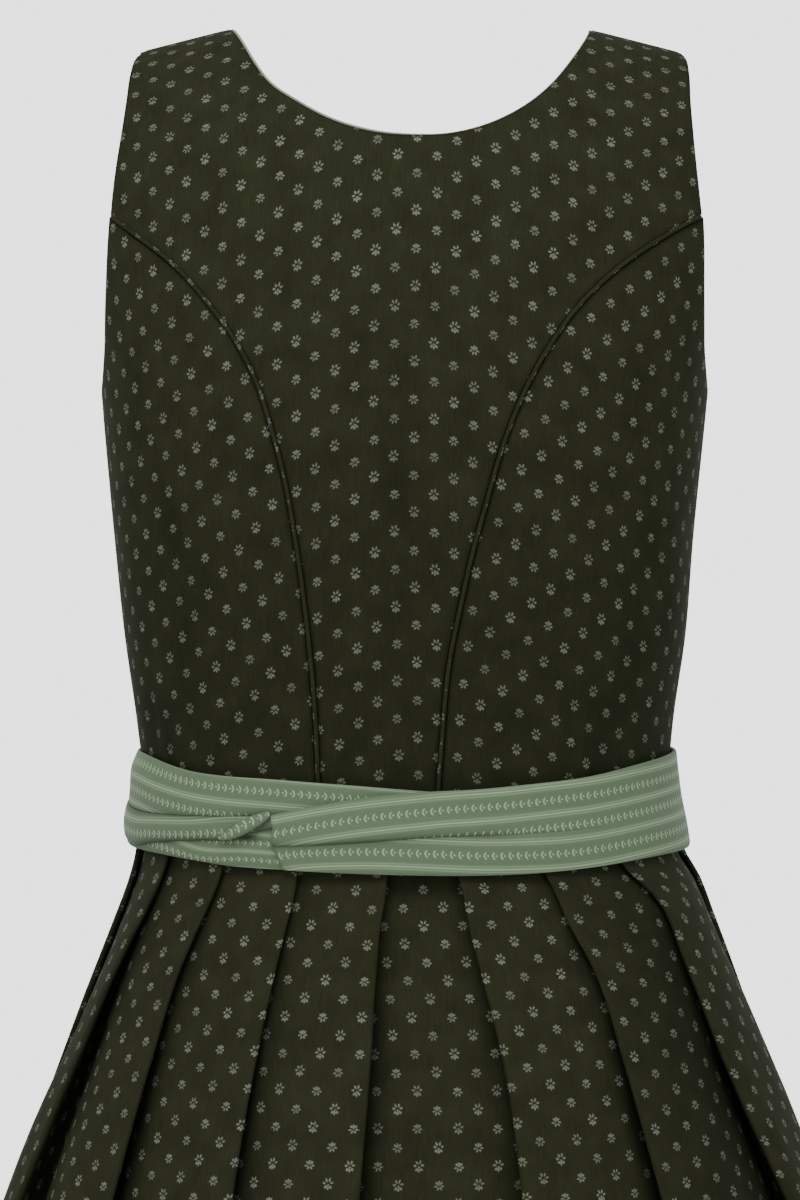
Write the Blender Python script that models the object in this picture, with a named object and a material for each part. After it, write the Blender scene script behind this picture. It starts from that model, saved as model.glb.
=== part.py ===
"""Sleeveless dirndl dress, filled out as worn and open at neck, armholes and hem.

Millimetres in the tables, metres in the meshes. X runs across the dress, Z up, and the
wearer's back faces -Y, so the wearer's left is -X. The origin is midway between the two
shoulder straps, at the height where they bear on the wearer's shoulders.
"""
import math

import bmesh
import bpy
import numpy as np

MM = 0.001
# Driving sizes, mm
CLOTH = 1.2            # bodice wall: printed cotton on its own seam allowances
SKIRT_CLOTH = 1.0      # skirt wall
SASH_CLOTH = 1.6       # sash, cloth doubled
GAP = 0.3              # between one sewn piece and the next
WAIST_Z = -388.0       # waist seam, under the sash
HEM_Z = -1050.0
PIPING_R = 1.1         # cord in the princess seams
PIPING_PROUD = 0.45    # how far its middle stands off the panels' mid-thickness
BUTTON_R = 6.0
BUTTON_T = 2.6
BUTTONS = 7
PLACKET_W = 22.0
PLACKET_TOP_Z, PLACKET_FOOT_Z = -148.5, -356.5
PLACKET_LIFT = 0.7     # how far the placket's underside stands off the panels
FRONT_HALF = 128.0     # half width that the front's section turns through at the placket
ARCH = {-1: 110.0, 1: 100.0}   # height over which back and front close over the shoulder
NECK_POINT = 91.0      # half width of the neck at the shoulder seam
SHOULDER_Z = 6.6       # height of the strap at the neck point
SHOULDER_SLOPE = 0.26

# Figure the bodice is cut to: height, centre offset, half width, back depth, front depth,
# squareness of the section
BODY = np.array([
    [30, 0.5, 152, 70, 62, 0.20],
    [0, 0.5, 156, 76, 72, 0.20],
    [-40, 0.3, 160, 86, 84, 0.22],
    [-90, 0.0, 162, 97, 101, 0.22],
    [-130, -1.2, 159, 103, 116, 0.22],
    [-165, -2.0, 154.6, 105, 126, 0.20],
    [-200, -2.4, 151.4, 104, 131, 0.18],
    [-250, -2.6, 146.6, 100, 128, 0.16],
    [-300, -2.0, 142.2, 95, 117, 0.13],
    [-345, -2.0, 136, 92, 106, 0.11],
    [-388, -1.0, 132.5, 91, 101, 0.10],
    [-420, 0.0, 134, 93, 102, 0.10],
], float)

# Back neckline from the left neck point to the right one: x, z
BACK_NECK = [
    (-90.0, 6.6), (-86.8, 2.9), (-82.3, -4.0), (-77.5, -12.0), (-69.3, -23.0),
    (-55.2, -32.9), (-39.4, -41.5), (-17.8, -48.1), (2.0, -49.8), (18.9, -49.1),
    (34.6, -45.6), (50.9, -38.5), (63.9, -29.7), (72.6, -21.4), (79.8, -12.5),
    (87.3, -1.7), (91.8, 6.4),
]
# Back armhole edge from the princess seam up to the shoulder seam: x on the left, x on
# the right, z
BACK_ARM = [
    (-149.0, 145.9, -88.5), (-147.8, 144.5, -76.0), (-145.9, 143.0, -61.0),
    (-143.6, 141.8, -46.0), (-141.6, 140.9, -30.7), (-139.8, 140.6, -16.0),
    (-137.6, 139.4, -8.6), (-134.0, 136.6, -4.9),
]
# Back princess seam, armhole to waist: x, z
BACK_SEAM_LEFT = [
    (-149.0, -88.5), (-135.9, -98.0), (-118.9, -110.6), (-105.9, -123.4),
    (-95.4, -136.1), (-86.5, -148.3), (-74.3, -171.6), (-67.9, -191.6),
    (-62.1, -213.1), (-55.6, -248.8), (-50.8, -284.7), (-46.8, -326.6),
    (-44.9, -367.6), (-44.3, -388.0),
]
BACK_SEAM_RIGHT = [
    (145.9, -88.5), (134.6, -94.1), (123.3, -100.7), (101.6, -115.6), (85.2, -130.7),
    (68.0, -153.6), (55.8, -176.0), (45.6, -201.8), (37.9, -228.6), (30.9, -254.1),
    (24.8, -281.6), (19.9, -306.2), (15.9, -347.0), (13.2, -388.0),
]
YOKE_RISE = 12.0       # how far the line between the armholes rises at the centre back
# Lower armhole from the princess seam to the side seam: share of the way, height
BACK_UNDERARM = [(0.0, -88.5), (0.12, -118.0), (0.3, -146.0), (0.55, -165.0),
                 (0.8, -173.5), (1.0, -176.0)]
FRONT_UNDERARM = [(0.0, -104.0), (0.12, -128.0), (0.3, -150.0), (0.55, -166.0),
                  (0.8, -173.5), (1.0, -176.0)]
# Front neckline, armhole and princess seam on the +X side: x, z
FRONT_NECK = [
    (0.0, -147.0), (16.0, -146.2), (31.0, -142.8), (45.0, -135.5), (56.5, -124.0),
    (65.5, -109.0), (72.5, -91.0), (78.5, -68.0), (83.5, -44.0), (87.5, -20.0),
    (90.9, 6.5),
]
FRONT_ARM = [
    (135.0, -104.0), (132.8, -84.0), (132.0, -64.0), (132.2, -44.0), (133.2, -26.0),
    (134.6, -13.0), (135.6, -7.0), (135.8, -4.9),
]
FRONT_SEAM = [
    (135.0, -104.0), (124.0, -118.0), (112.0, -136.0), (101.0, -157.0),
    (92.5, -181.0), (86.5, -206.0), (80.5, -235.0), (73.0, -266.0), (65.0, -299.0),
    (58.0, -334.0), (53.5, -362.0), (51.0, -388.0),
]

# Skirt: height, centre offset, half width over the folds, back depth, front depth,
# squareness, fold height, share of a fold's width lying under the next one, and how far
# the fold has relaxed from pressed (0) to open (1)
SKIRT = np.array([
    [-388.3, -1.0, 138.2, 96.8, 106.5, 0.10, 7.2, 0.86, 0.00],
    [-407.0, 0.0, 139.7, 98.3, 108.0, 0.10, 7.4, 0.84, 0.00],
    [-424.0, 3.0, 146.6, 104.5, 113.5, 0.09, 8.0, 0.80, 0.10],
    [-440.0, 3.6, 152.8, 111.5, 119.5, 0.08, 9.0, 0.72, 0.25],
    [-458.0, 4.2, 160.0, 120.0, 127.0, 0.07, 10.6, 0.62, 0.40],
    [-482.0, 4.8, 169.6, 131.0, 137.5, 0.06, 12.6, 0.53, 0.60],
    [-512.0, 5.0, 180.6, 144.0, 149.5, 0.05, 14.6, 0.45, 0.80],
    [-548.0, 4.6, 193.2, 158.0, 162.0, 0.04, 16.4, 0.38, 1.00],
    [-588.0, 4.2, 207.0, 172.0, 175.0, 0.03, 18.2, 0.32, 1.00],
    [-660.0, 4.0, 229.0, 194.0, 196.0, 0.02, 22.0, 0.22, 1.00],
    [-760.0, 3.5, 257.0, 221.0, 223.0, 0.01, 27.0, 0.10, 1.00],
    [-860.0, 3.0, 283.0, 246.0, 248.0, 0.00, 31.0, 0.01, 1.00],
    [-960.0, 2.5, 307.0, 268.0, 270.0, 0.00, 34.0, -0.06, 1.00],
    [HEM_Z, 2.0, 325.0, 285.0, 287.0, 0.00, 36.0, -0.10, 1.00],
], float)
# Where each fold's pressed edge lies, degrees from the centre back, + towards +X, at
# five heights; and how proud the fold stands
EDGE_Z = [-388.3, -411.0, -430.0, -458.0, -500.0, -588.0, -1050.0]
EDGES = [
    # waist, belt edge, above the kink, below it, thigh, knee, hem, proud
    (-157.0, -157.3, -157.8, -158.5, -160.0, -163.0, -169.0, 1.00),
    (-140.0, -140.2, -140.4, -141.0, -142.0, -144.5, -149.5, 0.94),
    (-121.5, -121.8, -122.2, -123.0, -124.0, -126.5, -130.0, 1.06),
    (-101.5, -101.7, -102.2, -103.5, -105.0, -108.0, -110.0, 0.98),
    (-79.6, -80.4, -82.2, -85.0, -87.6, -93.0, -93.0, 1.05),
    (-58.4, -61.4, -64.0, -67.9, -70.2, -74.2, -72.0, 1.30),
    (-40.0, -42.5, -45.0, -48.0, -49.0, -49.0, -48.0, 1.10),
    (-22.5, -24.1, -25.5, -26.9, -28.0, -27.9, -27.5, 0.96),
    (-3.8, -5.1, -6.9, -7.9, -8.4, -9.1, -8.5, 0.90),
    (9.2, 10.0, 10.1, 11.8, 14.1, 15.7, 15.0, 0.94),
    (27.6, 28.8, 30.0, 33.7, 35.3, 37.8, 37.0, 1.06),
    (47.4, 50.0, 56.2, 57.0, 57.6, 64.6, 63.0, 1.25),
    (91.0, 92.0, 93.5, 95.0, 96.0, 98.0, 95.0, 0.66),
    (112.0, 112.5, 113.2, 114.5, 116.5, 120.0, 119.0, 0.96),
    (132.5, 132.8, 133.2, 134.0, 135.5, 138.5, 142.0, 1.06),
    (152.0, 152.3, 152.8, 153.8, 155.5, 159.0, 167.5, 1.00),
]
FIRST_RIGHT = 9        # edges from here on face the other way
SIDE_SEAMS = (4, 12)   # folds whose hidden layer carries a side seam

# Sash: degrees from the centre back, bottom edge, lower crease, upper crease, top edge,
# then how far each of the three lengthwise rolls stands off the waist
SASH = np.array([
    [-29.0, -409.6, -398.0, -390.0, -383.5, 2.4, 3.5, 3.5],
    [-20.0, -410.2, -397.0, -388.0, -378.8, 2.4, 3.4, 3.4],
    [-8.0, -411.0, -395.0, -385.0, -373.8, 2.4, 3.3, 3.3],
    [4.0, -411.6, -393.0, -383.0, -371.2, 2.4, 3.0, 3.0],
    [13.0, -411.8, -392.4, -382.0, -370.4, 2.1, 2.4, 2.4],
    [24.0, -411.4, -392.0, -381.0, -368.6, 1.3, 1.4, 1.4],
    [38.0, -409.8, -391.0, -379.5, -366.2, 0.4, 0.4, 0.4],
    [56.0, -407.2, -389.0, -377.0, -361.4, 0.0, 0.0, 0.0],
    [75.0, -406.4, -387.5, -375.0, -358.6, 0.0, 0.0, 0.0],
    [110.0, -406.6, -388.0, -375.0, -358.6, 0.0, 0.0, 0.0],
    [145.0, -408.0, -389.0, -376.0, -360.0, 0.0, 0.0, 0.0],
    [180.0, -409.0, -390.0, -377.0, -361.0, 0.0, 0.0, 0.0],
    [215.0, -408.4, -390.0, -377.0, -360.4, 0.1, 0.2, 0.2],
    [250.0, -406.6, -393.0, -379.0, -359.0, 0.3, 0.8, 0.6],
    [272.0, -405.2, -400.0, -384.6, -358.2, 0.3, 1.7, 1.2],
    [285.0, -405.0, -403.0, -386.4, -358.4, 0.3, 2.4, 1.6],
    [298.0, -405.6, -399.6, -386.4, -361.4, 0.3, 2.2, 1.5],
    [312.0, -407.4, -396.8, -385.8, -364.6, 0.3, 1.8, 1.2],
    [320.0, -408.8, -395.6, -385.2, -365.6, 0.2, 1.6, 0.9],
    [327.0, -409.4, -391.4, -384.4, -366.0, 0.0, 0.9, 0.3],
    [332.0, -409.6, -390.2, -384.0, -366.4, 0.0, 0.0, 0.0],
    [345.0, -408.0, -393.6, -384.0, -368.0, 0.0, 0.0, 0.0],
    [366.0, -407.0, -393.0, -384.0, -371.8, 0.0, 0.0, 0.0],
], float)
# Size of the sash's middle surface at the waist: height, centre, half width, back, front
SASH_FORM = np.array([
    [-340.0, -2.0, 137.4, 94.6, 108.0],
    [-362.0, -1.8, 137.2, 95.0, 106.4],
    [-379.0, -1.2, 138.6, 96.8, 107.4],
    [-394.0, -0.6, 141.2, 99.4, 110.0],
    [-411.0, 0.6, 141.9, 100.8, 110.8],
    [-430.0, 1.0, 142.4, 101.6, 111.4],
], float)


# ---------------------------------------------------------------- geometry helpers
def smooth(table, z, col):
    """A table's column at height z, by a cubic through its rows."""
    rows = table[::-1] if table[0, 0] > table[-1, 0] else table
    keys, vals = rows[:, 0], rows[:, col]
    z = np.clip(np.asarray(z, float), keys[0], keys[-1])
    slope = np.gradient(vals, keys)
    i = np.clip(np.searchsorted(keys, z) - 1, 0, len(keys) - 2)
    h = keys[i + 1] - keys[i]
    u = (z - keys[i]) / h
    return ((2 * u**3 - 3 * u**2 + 1) * vals[i] + (u**3 - 2 * u**2 + u) * h * slope[i]
            + (-2 * u**3 + 3 * u**2) * vals[i + 1] + (u**3 - u**2) * h * slope[i + 1])


def along(points, shares):
    """Points at the given shares of a line's length, by a cubic through its corners."""
    pts = np.asarray(points, float)
    run = np.r_[0, np.cumsum(np.linalg.norm(np.diff(pts, axis=0), axis=1))]
    at = np.asarray(shares, float) * run[-1]
    return np.stack([smooth(np.c_[run, pts[:, c]], at, 1) for c in range(pts.shape[1])], 1)


def ridge(x):
    """Height of the shoulder line above a point across the dress."""
    reach = np.minimum(np.sqrt(np.asarray(x, float)**2 + 900) - 3, 147)
    return SHOULDER_Z + SHOULDER_SLOPE * (NECK_POINT - reach)


def body(side, psi, w):
    """Body surface: side -1 back or 1 front, psi round the section, w down from the
    shoulder line measured over the shoulder."""
    psi, w = np.broadcast_arrays(np.asarray(psi, float), np.asarray(w, float))
    h = ARCH[side]
    turn = np.clip(w / h, 0, math.pi / 2)
    drop = np.where(w < h * math.pi / 2, h * (1 - np.cos(turn)), h + w - h * math.pi / 2)
    x = 150 * np.sin(psi)
    for _ in range(12):
        z = ridge(x) - drop
        x = smooth(BODY, z, 1) + smooth(BODY, z, 2) * np.sin(psi)
    z = ridge(x) - drop
    depth = smooth(BODY, z, 3 if side < 0 else 4)
    y = side * depth * np.cos(psi) * (1 + smooth(BODY, z, 5) * np.sin(psi)**2) * np.sin(turn)
    if side > 0:
        swell = np.exp(-((np.abs(x) - 80) / 46)**2 - ((z + 205) / 58)**2)
        y = y + 12 * np.sin(turn) * swell * (1 - np.sin(psi)**8)
    return np.stack([x, y, z], -1)


def uv(side, x, z):
    """(psi, w) of the body surface's point at x, z."""
    x, z = np.asarray(x, float), np.asarray(z, float)
    h = ARCH[side]
    sine = np.clip((x - smooth(BODY, z, 1)) / smooth(BODY, z, 2), -1, 1)
    d = np.maximum(ridge(x) - z, 0)
    w = np.where(d < h, h * np.arccos(np.clip(1 - d / h, -1, 1)), d - h + h * math.pi / 2)
    return np.stack([np.arcsin(sine), w], -1)


def normals(side, p):
    """Outward unit normals of the body surface at points p = (psi, w)."""
    e = np.array([1e-3, 0.0])
    f = np.array([0.0, 0.3])
    q = np.maximum(p, [-9, 0.3])
    a = body(side, *np.moveaxis(q + e, -1, 0)) - body(side, *np.moveaxis(q - e, -1, 0))
    b = body(side, *np.moveaxis(q + f, -1, 0)) - body(side, *np.moveaxis(q - f, -1, 0))
    n = np.cross(a, b) * (1.0 if side < 0 else -1.0)
    return -n / np.linalg.norm(n, axis=-1, keepdims=True)


def shifted(side, line, mm):
    """A line of (psi, w) moved sideways on the surface, + to the line's left hand."""
    pts = body(side, *line.T)
    tan = np.gradient(pts, axis=0)
    tan /= np.linalg.norm(tan, axis=1, keepdims=True)
    want = np.cross(normals(side, line), tan) * mm
    out = line.copy()
    for i in range(len(line)):
        q = np.maximum(line[i], [-9, 0.3])
        du = (body(side, q[0] + 1e-3, q[1]) - body(side, q[0] - 1e-3, q[1])) / 2e-3
        dw = (body(side, q[0], q[1] + 0.3) - body(side, q[0], q[1] - 0.3)) / 0.6
        out[i] += np.linalg.lstsq(np.stack([du, dw], 1), want[i], rcond=None)[0]
    return out


def coons(bottom, top, left, right):
    """A grid filled in between four border lines that share their corners. Its rows
    climb at the pace of the two side lines."""
    def climb(line):
        return (line[:, 1] - line[0, 1]) / (line[-1, 1] - line[0, 1])
    u = np.linspace(0, 1, len(bottom))[None, :, None]
    v = climb(left)[:, None, None] * (1 - u) + climb(right)[:, None, None] * u
    corners = ((1 - u) * (1 - v) * bottom[0] + u * (1 - v) * bottom[-1]
               + (1 - u) * v * top[0] + u * v * top[-1])
    return ((1 - v) * bottom[None] + v * top[None] + (1 - u) * left[:, None]
            + u * right[:, None] - corners)


def add_mesh(name, verts, faces, colour, roughness=0.85):
    """One named solid, turned to face outwards, with its own cloth material."""
    mesh = bpy.data.meshes.new(name)
    mesh.from_pydata([tuple(v) for v in np.asarray(verts, float) * MM], [], faces)
    bm = bmesh.new()
    bm.from_mesh(mesh)
    if bm.calc_volume(signed=True) < 0:
        bmesh.ops.reverse_faces(bm, faces=bm.faces[:])
    bm.to_mesh(mesh)
    bm.free()
    mesh.update()
    obj = bpy.data.objects.new(name, mesh)
    DRESS.objects.link(obj)
    mat = bpy.data.materials.new(name)
    mat.use_nodes = True
    shader = mat.node_tree.nodes["Principled BSDF"]
    shader.inputs["Base Color"].default_value = (*colour, 1)
    shader.inputs["Roughness"].default_value = roughness
    mesh.materials.append(mat)
    return obj


def shell(name, outer, inner, colour):
    """A wall between two grids of points of the same size, with its four rims."""
    rows, cols = outer.shape[:2]
    verts = np.concatenate([outer.reshape(-1, 3), inner.reshape(-1, 3)])
    n = rows * cols
    faces = []
    for r in range(rows - 1):
        for c in range(cols - 1):
            a, b = r * cols + c, r * cols + c + 1
            d, e = a + cols, b + cols
            faces += [(a, b, e, d), (n + a, n + d, n + e, n + b)]
    rim = ([(0, c) for c in range(cols)] + [(r, cols - 1) for r in range(1, rows)]
           + [(rows - 1, c) for c in range(cols - 2, -1, -1)]
           + [(r, 0) for r in range(rows - 2, 0, -1)])
    ids = [r * cols + c for r, c in rim]
    faces += [(b, a, n + a, n + b) for a, b in zip(ids, ids[1:] + ids[:1])]
    return add_mesh(name, verts, faces, colour)


def sew(patches):
    """The points of some grids, each once, and their four-sided faces."""
    index, points, quads = {}, [], []
    for g in patches:
        ids = np.zeros(g.shape[:2], int)
        for r, c in np.ndindex(ids.shape):
            key = tuple(np.round(g[r, c], 6))
            if key not in index:
                index[key] = len(points)
                points.append(g[r, c])
            ids[r, c] = index[key]
        for r, c in np.ndindex(ids.shape[0] - 1, ids.shape[1] - 1):
            quads.append((ids[r, c], ids[r, c + 1], ids[r + 1, c + 1], ids[r + 1, c]))
    return np.array(points), [tuple(int(i) for i in q) for q in quads]


def panel(name, side, patches, colour, outside=0.0, wall=CLOTH):
    """A cloth panel on the body surface from grids of (psi, w) that meet edge to edge."""
    points, quads = sew(patches)
    place, nrm = body(side, *points.T), normals(side, points)
    n = len(points)
    edges = {(q[i], q[(i + 1) % 4]) for q in quads for i in range(4)}
    faces = quads + [(n + a, n + d, n + c, n + b) for a, b, c, d in quads]
    faces += [(b, a, n + a, n + b) for a, b in edges if (b, a) not in edges]
    verts = np.concatenate([place + nrm * outside, place + nrm * (outside - wall)])
    return add_mesh(name, verts, faces, colour)


def cord(name, centre, radius, colour, sides=6):
    """A round cord with closed ends along a line of points."""
    tan = np.gradient(centre, axis=0)
    tan /= np.linalg.norm(tan, axis=1, keepdims=True)
    ref = np.cross(tan[0], [0.0, 0.0, 1.0])
    verts = []
    for p, t in zip(centre, tan):
        ref = ref - t * ref.dot(t)
        ref /= np.linalg.norm(ref)
        other = np.cross(t, ref)
        verts += [p + radius * (ref * math.cos(a) + other * math.sin(a))
                  for a in np.linspace(0, 2 * math.pi, sides, endpoint=False)]
    faces = []
    for i in range(len(centre) - 1):
        for j in range(sides):
            a, b = i * sides + j, i * sides + (j + 1) % sides
            faces.append((a, b, b + sides, a + sides))
    last = (len(centre) - 1) * sides
    faces += [tuple(range(sides))[::-1], tuple(range(last, last + sides))]
    return add_mesh(name, verts, faces, colour)


# ---------------------------------------------------------------- bodice borders
SEAM_N, ARM_N, SHOULDER_N, NECK_N, SIDE_N = 12, 6, 3, 16, 7
FRONT_NECK_N, FRONT_FOOT_N, CHEST_N = 12, 4, 5


def line_uv(side, points, count):
    """A table of (x, z) as count + 1 points of (psi, w), evenly spaced on the surface."""
    pts = along(points, np.linspace(0, 1, 241))
    line = uv(side, pts[:, 0], pts[:, 1])
    place = body(side, line[:, 0], line[:, 1])
    run = np.r_[0, np.cumsum(np.linalg.norm(np.diff(place, axis=0), axis=1))]
    at = np.linspace(0, run[-1], count + 1)
    return np.stack([np.interp(at, run, line[:, 0]), np.interp(at, run, line[:, 1])], 1)


def half(points, sign):
    return [(sign * x, z) for x, z in points]


def seam_line(side, sign):
    """Princess seam, waist first and armhole last."""
    if side > 0:
        table = half(FRONT_SEAM, sign)
    else:
        table = BACK_SEAM_LEFT if sign < 0 else BACK_SEAM_RIGHT
    return line_uv(side, table[::-1], SEAM_N)


def arm_line(side, sign):
    """Armhole edge, princess seam first and shoulder last."""
    if side > 0:
        table = half(FRONT_ARM, sign)
    else:
        table = [(left if sign < 0 else right, z) for left, right, z in BACK_ARM]
    line = line_uv(side, table, ARM_N)
    line[-1, 1] = GAP / 2
    return line


def waist_uv(side, psi_from, psi_to, count):
    """The waist edge between two places round the body."""
    psi = np.linspace(psi_from, psi_to, count + 1)
    x = smooth(BODY, WAIST_Z, 1) + smooth(BODY, WAIST_Z, 2) * np.sin(psi)
    return uv(side, x, np.full_like(x, WAIST_Z))


def centre_back_grid():
    """Centre back panel: waist, both princess seams, armholes, shoulders and neckline,
    filled in below and above a line from one armhole to the other."""
    edge = PIPING_R + GAP
    seams = [shifted(-1, seam_line(-1, sign), edge * sign) for sign in (-1, 1)]
    arms = [np.concatenate([seam[-1:], arm_line(-1, sign)[1:]])
            for seam, sign in zip(seams, (-1, 1))]
    neck = line_uv(-1, BACK_NECK, NECK_N)
    neck[[0, -1], 1] = GAP / 2
    mix = np.linspace(0, 1, SHOULDER_N + 1)[:, None]
    top = np.concatenate([(arms[0][-1] * (1 - mix) + neck[0] * mix)[:-1], neck,
                          (neck[-1] * (1 - mix) + arms[1][-1] * mix)[1:]])
    x = np.linspace(BACK_ARM[0][0], BACK_ARM[0][1], len(top))
    yoke = uv(-1, x, BACK_ARM[0][2] + YOKE_RISE * (1 - (x / x[0])**2))
    yoke[0], yoke[-1] = seams[0][-1], seams[1][-1]
    bottom = waist_uv(-1, seams[0][0, 0], seams[1][0, 0], len(top) - 1)
    seams[0][0], seams[1][0] = bottom[0], bottom[-1]
    return np.concatenate([coons(bottom, yoke, *seams)[:-1], coons(yoke, top, *arms)])


def side_grid(side, sign):
    """Side panel from the princess seam round to the side seam."""
    seam = shifted(side, seam_line(side, sign), -(PIPING_R + GAP) * sign * -side)
    under = BACK_UNDERARM if side < 0 else FRONT_UNDERARM
    last = sign * (math.pi / 2 - 0.0012)
    share = np.linspace(0, 1, SIDE_N + 1)
    table = np.array(under)
    height = smooth(table, share, 1)
    psi = seam[-1, 0] + (last - seam[-1, 0]) * share
    x = smooth(BODY, height, 1) + smooth(BODY, height, 2) * np.sin(psi)
    top = uv(side, x, height)
    top[0] = seam[-1]
    bottom = waist_uv(side, seam[0, 0], last, SIDE_N)
    seam[0] = bottom[0]
    heights = np.linspace(WAIST_Z, height[-1], SEAM_N + 1)
    x = smooth(BODY, heights, 1) + smooth(BODY, heights, 2) * math.sin(last)
    outer = uv(side, x, heights)
    outer[:, 0] = last
    top[-1], bottom[-1] = outer[-1], outer[0]
    return coons(bottom, top, seam, outer)


def front_grid(sign):
    """Front panel in two patches: below, from the waist to the foot of the neckline and
    a line on to the armhole; above, the strap."""
    middle = sign * 0.0012
    seam = shifted(1, seam_line(1, sign), -(PIPING_R + GAP) * sign)
    neck = line_uv(1, half(FRONT_NECK, sign), FRONT_NECK_N)
    neck[0, 0] = middle
    neck[-1, 1] = GAP / 2
    arm = line_uv(1, half(FRONT_ARM, sign), FRONT_NECK_N - FRONT_FOOT_N)
    arm[0], arm[-1, 1] = seam[-1], GAP / 2
    mix = np.linspace(0, 1, CHEST_N + 1)[:, None]
    turn = neck[FRONT_FOOT_N]
    chest = turn * (1 - mix) + seam[-1] * mix
    chest[:, 1] += 5.0 * np.sin(math.pi * mix[:, 0])
    shoulder = neck[-1] * (1 - mix) + arm[-1] * mix
    top = np.concatenate([neck[:FRONT_FOOT_N], chest])
    bottom = waist_uv(1, middle, seam[0, 0], len(top) - 1)
    seam[0] = bottom[-1]
    w = np.linspace(bottom[0, 1], neck[0, 1], len(seam))
    centre = np.stack([np.full_like(w, middle), w], 1)
    return [coons(bottom, top, centre, seam),
            coons(chest, shoulder, neck[FRONT_FOOT_N:], arm)]


# ---------------------------------------------------------------- skirt section
def skirt_base(z, phi, off):
    """Point off mm outside the skirt's base line at height z, phi radians from the
    centre back; and the length round the section that one radian covers."""
    fold = smooth(SKIRT, z, 6)
    a = smooth(SKIRT, z, 2) - fold - SKIRT_CLOTH / 2
    front = np.cos(phi) < 0
    b = np.where(front, smooth(SKIRT, z, 4), smooth(SKIRT, z, 3)) - fold - SKIRT_CLOTH / 2
    k = smooth(SKIRT, z, 5)
    s, c = np.sin(phi), np.cos(phi)
    x = smooth(SKIRT, z, 1) + a * s
    y = -b * c * (1 + k * s * s)
    dx = a * c
    dy = b * s * (1 + k * s * s) - 2 * b * c * c * k * s
    run = np.hypot(dx, dy)
    return x + off * dy / run, y - off * dx / run, run


def edge_angle(k, z):
    """Angle of fold k's pressed edge at height z, radians."""
    table = np.c_[EDGE_Z, EDGES[k][:7]]
    return math.radians(float(smooth(table, z, 1)))


STEPS = (0.14, 0.44, 0.73)   # places across a fold's face


def skirt_row(z):
    """The skirt's middle line at height z, once round from the centre front, as a list
    of (phi, off, tag); tag is the place of a side seam or None."""
    lay = float(smooth(SKIRT, z, 7))
    open_ = float(smooth(SKIRT, z, 8))
    high = float(smooth(SKIRT, z, 6))
    fold = 1.6 + 1.4 * open_
    angles = [edge_angle(k, z) for k in range(len(EDGES))]
    proud = [1 + (row[7] - 1) * min(1, 0.1 + open_) for row in EDGES]
    spare = [abs(a - b) for a, b in zip(angles[1:FIRST_RIGHT], angles)]
    spare = [spare[0]] + spare
    spare += [abs(b - a) for a, b in zip(angles[FIRST_RIGHT:], angles[FIRST_RIGHT + 1:])]
    spare += [spare[-1]]
    pts = []

    def face(k, other, sign):
        """Fold k's face from its pressed edge at angles[k] away from the centre back to
        its inner crease under fold `other`, then back out to that fold's edge."""
        width = abs(angles[other] - angles[k])
        hidden = lay * min(width, spare[other])
        total = width + hidden
        h0, h1 = high * proud[k], high * proud[other]
        out = [(angles[k], h0)]
        for t in STEPS:
            flat, eased = 1 - t, 1 - t**2.2
            out.append((angles[k] + sign * total * t,
                        h0 * (flat + (eased - flat) * open_)))
        crease = angles[k] + sign * total
        out.append((crease, 0.0))
        back = angles[other] + sign * hidden * 0.5
        out.append((crease - sign * 0.004 * open_, fold))
        out.append((back, (h1 - fold) * (0.5 + 0.06 * open_) + fold * 0.5))
        out.append((angles[other] + sign * 0.003 * open_, h1 - fold))
        return out

    # left half, from the centre front round to the centre back
    for k in range(FIRST_RIGHT - 1, 0, -1):
        pts.append((k, face(k, k - 1, -1)))
    left = [(p, o, (k, i)) for k, row in pts for i, (p, o) in enumerate(row)]
    left = left[::-1]
    right = []
    for k in range(FIRST_RIGHT, len(EDGES) - 1):
        right += [(p, o, (k, i)) for i, (p, o) in enumerate(face(k, k + 1, 1))]
    # centre back: an inverted box between the two innermost edges
    kl, kr = FIRST_RIGHT - 1, FIRST_RIGHT
    wide = angles[kr] - angles[kl]
    under = min(spare[kl], spare[kr]) * lay
    hl, hr = high * proud[kl], high * proud[kr]
    middle = [
        (angles[kl] - 0.003 * open_, hl - fold, None),
        (angles[kl] - under * 0.5, (hl - fold) * 0.55 + fold * 0.45, None),
        (angles[kl] - under, fold, None),
        (angles[kl] - under, 0.0, None),
    ]
    for t in (0.16, 0.39, 0.61, 0.84):
        phi = angles[kl] - under + (wide + 2 * under) * t
        bow = (2.6 * open_ * high / 16) * math.sin(math.pi * t)
        middle.append((phi, bow, None))
    middle += [
        (angles[kr] + under, 0.0, None),
        (angles[kr] + under, fold, None),
        (angles[kr] + under * 0.5, (hr - fold) * 0.55 + fold * 0.45, None),
        (angles[kr] + 0.003 * open_, hr - fold, None),
    ]
    # centre front: a flat box panel between the two outermost edges
    last = angles[-1]
    gap = 0.5 * GAP / float(smooth(SKIRT, z, 2))
    fr = [(last + (math.pi - gap - last) * t, high, None) for t in (0, 0.3, 0.65, 1.0)]
    fl = [(-math.pi + gap + (angles[0] + math.pi - gap) * t, high, None)
          for t in (0, 0.35, 0.7, 1.0)]
    return fl + left + middle + right + fr


def skirt_grid():
    """(rows, cols, 2) of phi, off with the heights, and the columns' tags."""
    rows = [skirt_row(float(z)) for z in SKIRT[:, 0]]
    grid = np.array([[(p, o) for p, o, _ in row] for row in rows])
    tags = [t for _, _, t in rows[0]]
    return grid, tags


def skirt_points(grid):
    z = np.repeat(SKIRT[:, 0][:, None], grid.shape[1], 1)
    x, y, _ = skirt_base(z, grid[..., 0], grid[..., 1])
    return np.stack([x, y, z], -1)


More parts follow.
